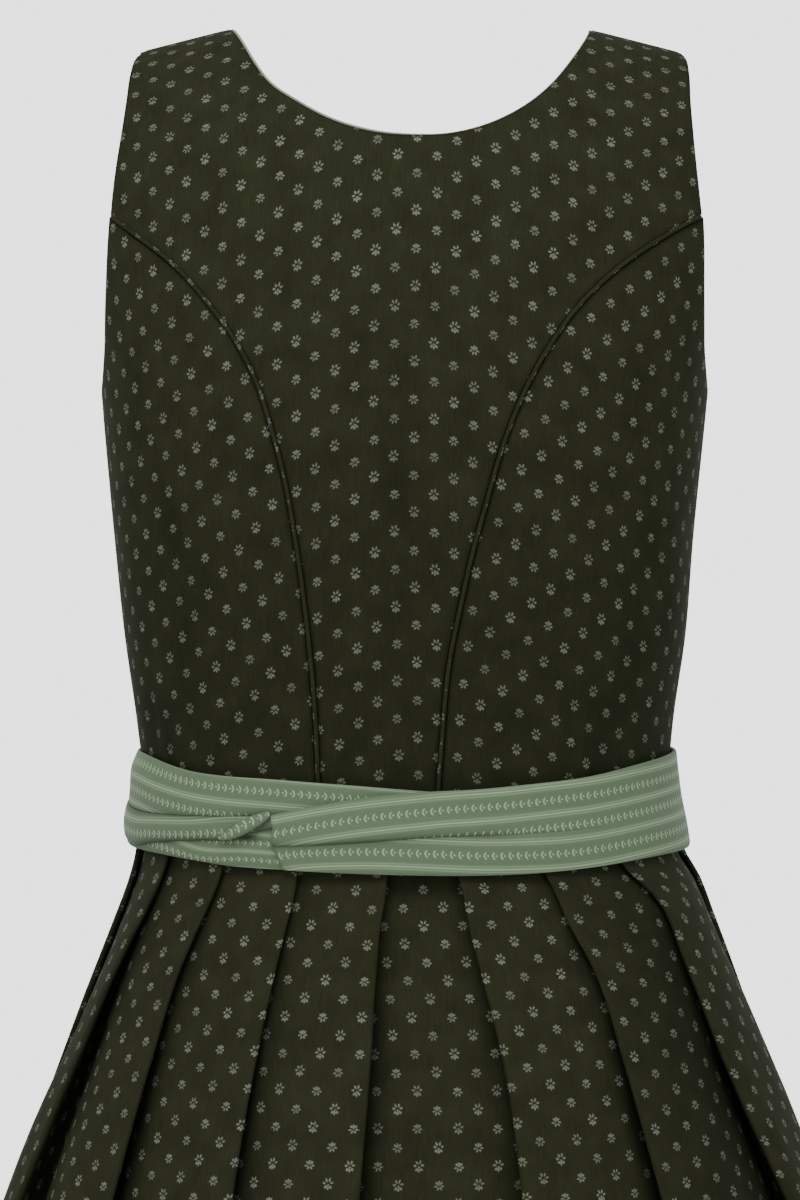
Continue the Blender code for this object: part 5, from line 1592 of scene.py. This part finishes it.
# ------------------------------------------------------------------ stage
CAMERA_FAR = 2600.0
PIXEL = 0.5075           # millimetres of dress to a pixel of the 800 x 1200 frame
FRAME_W, FRAME_H = 800, 1200
AXIS_X, TOP_Y = 409, 44  # where the origin falls in that frame
CAMERA_DIP = math.radians(3.0)
SENSOR = 24.0            # height of the camera's sensor
FLOOR_R, FLOOR_DROP, FLOOR_SIDES = 2.7, 4.0, 64     # metres, and millimetres under the hem


def area_light(name, place, aim, size, watts):
    """A soft rectangular light, in metres, turned to its aim."""
    lamp = bpy.data.lights.new(name, "AREA")
    lamp.shape = "RECTANGLE"
    lamp.size, lamp.size_y = size
    lamp.energy = watts
    obj = link(name, lamp)
    obj.location = place
    way = np.array(aim, float) - np.array(place, float)
    obj.rotation_euler = (math.atan2(math.hypot(way[0], way[1]), -way[2]), 0,
                          math.atan2(-way[0], way[1]))


def build_stage():
    """Sets the pale floor, the soft light and the camera."""
    scene = bpy.context.scene
    floor = bpy.data.meshes.new("floor")
    z = (HEM_Z - FLOOR_DROP) * MM
    ring = [(FLOOR_R * math.cos(a), FLOOR_R * math.sin(a), z)
            for a in np.linspace(0, math.tau, FLOOR_SIDES + 1)[:-1]]
    floor.from_pydata(ring, [], [tuple(range(FLOOR_SIDES))])
    # studio paper is matt, and as pale as the wall
    mat, tree = new_material("matt studio paper")
    surface(tree, Base_Color=paint("floor"), Roughness=0.9)
    floor.materials.append(mat)
    link("floor", floor)
    world = scene.world or bpy.data.worlds.new("studio")
    scene.world = world
    world.use_nodes = True
    # paler towards the wall behind the dress
    tree = world.node_tree
    sky = tree.nodes["Background"]
    sky.inputs[0].default_value = (1, 1, 1, 1)
    way = node(tree, "SeparateXYZ", node(tree, "TexCoord").outputs["Generated"])
    behind = node(tree, "MapRange", way.outputs[1], 0.45, 0.95, 0.8, 2.6,
                  interpolation_type="SMOOTHSTEP")
    tree.links.new(behind.outputs[0], sky.inputs[1])
    area_light("key", (-0.3, -1.2, 1.2), (0, 0, -0.35), (1.2, 0.9), 27)
    area_light("left", (-1.8, -2.0, 0.3), (0, 0, -0.4), (1.2, 1.6), 8)
    area_light("right", (1.8, -2.0, 0.3), (0, 0, -0.4), (1.2, 1.6), 8)
    camera = bpy.data.cameras.new("camera")
    eye = link("camera", camera)
    scene.camera = eye
    centre_x = (FRAME_W / 2 - AXIS_X) * PIXEL
    centre_z = -(FRAME_H / 2 - TOP_Y) * PIXEL
    eye.location = (centre_x * MM, -CAMERA_FAR * math.cos(CAMERA_DIP) * MM,
                    (centre_z + CAMERA_FAR * math.sin(CAMERA_DIP)) * MM)
    eye.rotation_euler = (math.pi / 2 - CAMERA_DIP, 0, 0)
    camera.sensor_fit = "VERTICAL"
    camera.sensor_height = SENSOR
    camera.lens = SENSOR * CAMERA_FAR / (FRAME_H * PIXEL)


# ------------------------------------------------------------------ operators
LINES = {}      # where the stitches run, kept by the pieces that carry them


class DRESS_OT_bodice(bpy.types.Operator):
    """Cuts the bodice panels, the neck facing and the corded seams"""
    bl_idname = "dress.bodice"
    bl_label = "Bodice"

    def execute(self, context):
        build_facing(build_bodice())
        build_piping()
        build_allowances()
        return {"FINISHED"}


class DRESS_OT_closure(bpy.types.Operator):
    """Sews the placket and its buttons to the front"""
    bl_idname = "dress.closure"
    bl_label = "Front closure"

    def execute(self, context):
        LINES["placket"] = build_placket()
        build_buttons()
        return {"FINISHED"}


class DRESS_OT_skirt(bpy.types.Operator):
    """Pleats the three skirt panels"""
    bl_idname = "dress.skirt"
    bl_label = "Skirt"

    def execute(self, context):
        LINES["hem"] = build_skirt()
        return {"FINISHED"}


class DRESS_OT_sash(bpy.types.Operator):
    """Wraps the woven sash round the waist and tucks it in"""
    bl_idname = "dress.sash"
    bl_label = "Sash"

    def execute(self, context):
        build_sash(build_tuck())
        return {"FINISHED"}


class DRESS_OT_stitches(bpy.types.Operator):
    """Sews the visible rows of stitches"""
    bl_idname = "dress.stitches"
    bl_label = "Stitches"

    def execute(self, context):
        sew_stitches("placket_stitches", LINES["placket"])
        sew_stitches("hem_stitches", LINES["hem"])
        return {"FINISHED"}


class DRESS_OT_stage(bpy.types.Operator):
    """Sets the floor, the lights and the camera"""
    bl_idname = "dress.stage"
    bl_label = "Stage"

    def execute(self, context):
        build_stage()
        return {"FINISHED"}


class DRESS_PT_panel(bpy.types.Panel):
    """Lists the dress's sizes and makes its pieces"""
    bl_idname = "DRESS_PT_panel"
    bl_label = "Dirndl dress"
    bl_space_type = "VIEW_3D"
    bl_region_type = "UI"
    bl_category = "Dirndl"

    def draw(self, context):
        for group in (context.scene.dress_sizes, context.scene.dress_colours):
            for name in group.__annotations__:
                self.layout.prop(group, name)
        for cls in OPERATORS:
            self.layout.operator(cls.bl_idname)


OPERATORS = (DRESS_OT_bodice, DRESS_OT_closure, DRESS_OT_skirt, DRESS_OT_sash,
             DRESS_OT_stitches, DRESS_OT_stage)
CLASSES = (DressSizes, DressColours) + OPERATORS + (DRESS_PT_panel,)


def register():
    for cls in CLASSES:
        bpy.utils.register_class(cls)
    bpy.types.Scene.dress_sizes = PointerProperty(type=DressSizes)
    bpy.types.Scene.dress_colours = PointerProperty(type=DressColours)


def unregister():
    del bpy.types.Scene.dress_sizes
    del bpy.types.Scene.dress_colours
    for cls in reversed(CLASSES):
        bpy.utils.unregister_class(cls)


def main():
    register()
    bpy.ops.dress.bodice()
    bpy.ops.dress.closure()
    bpy.ops.dress.skirt()
    bpy.ops.dress.sash()
    bpy.ops.dress.stitches()
    bpy.ops.dress.stage()


if __name__ == "__main__":
    main()
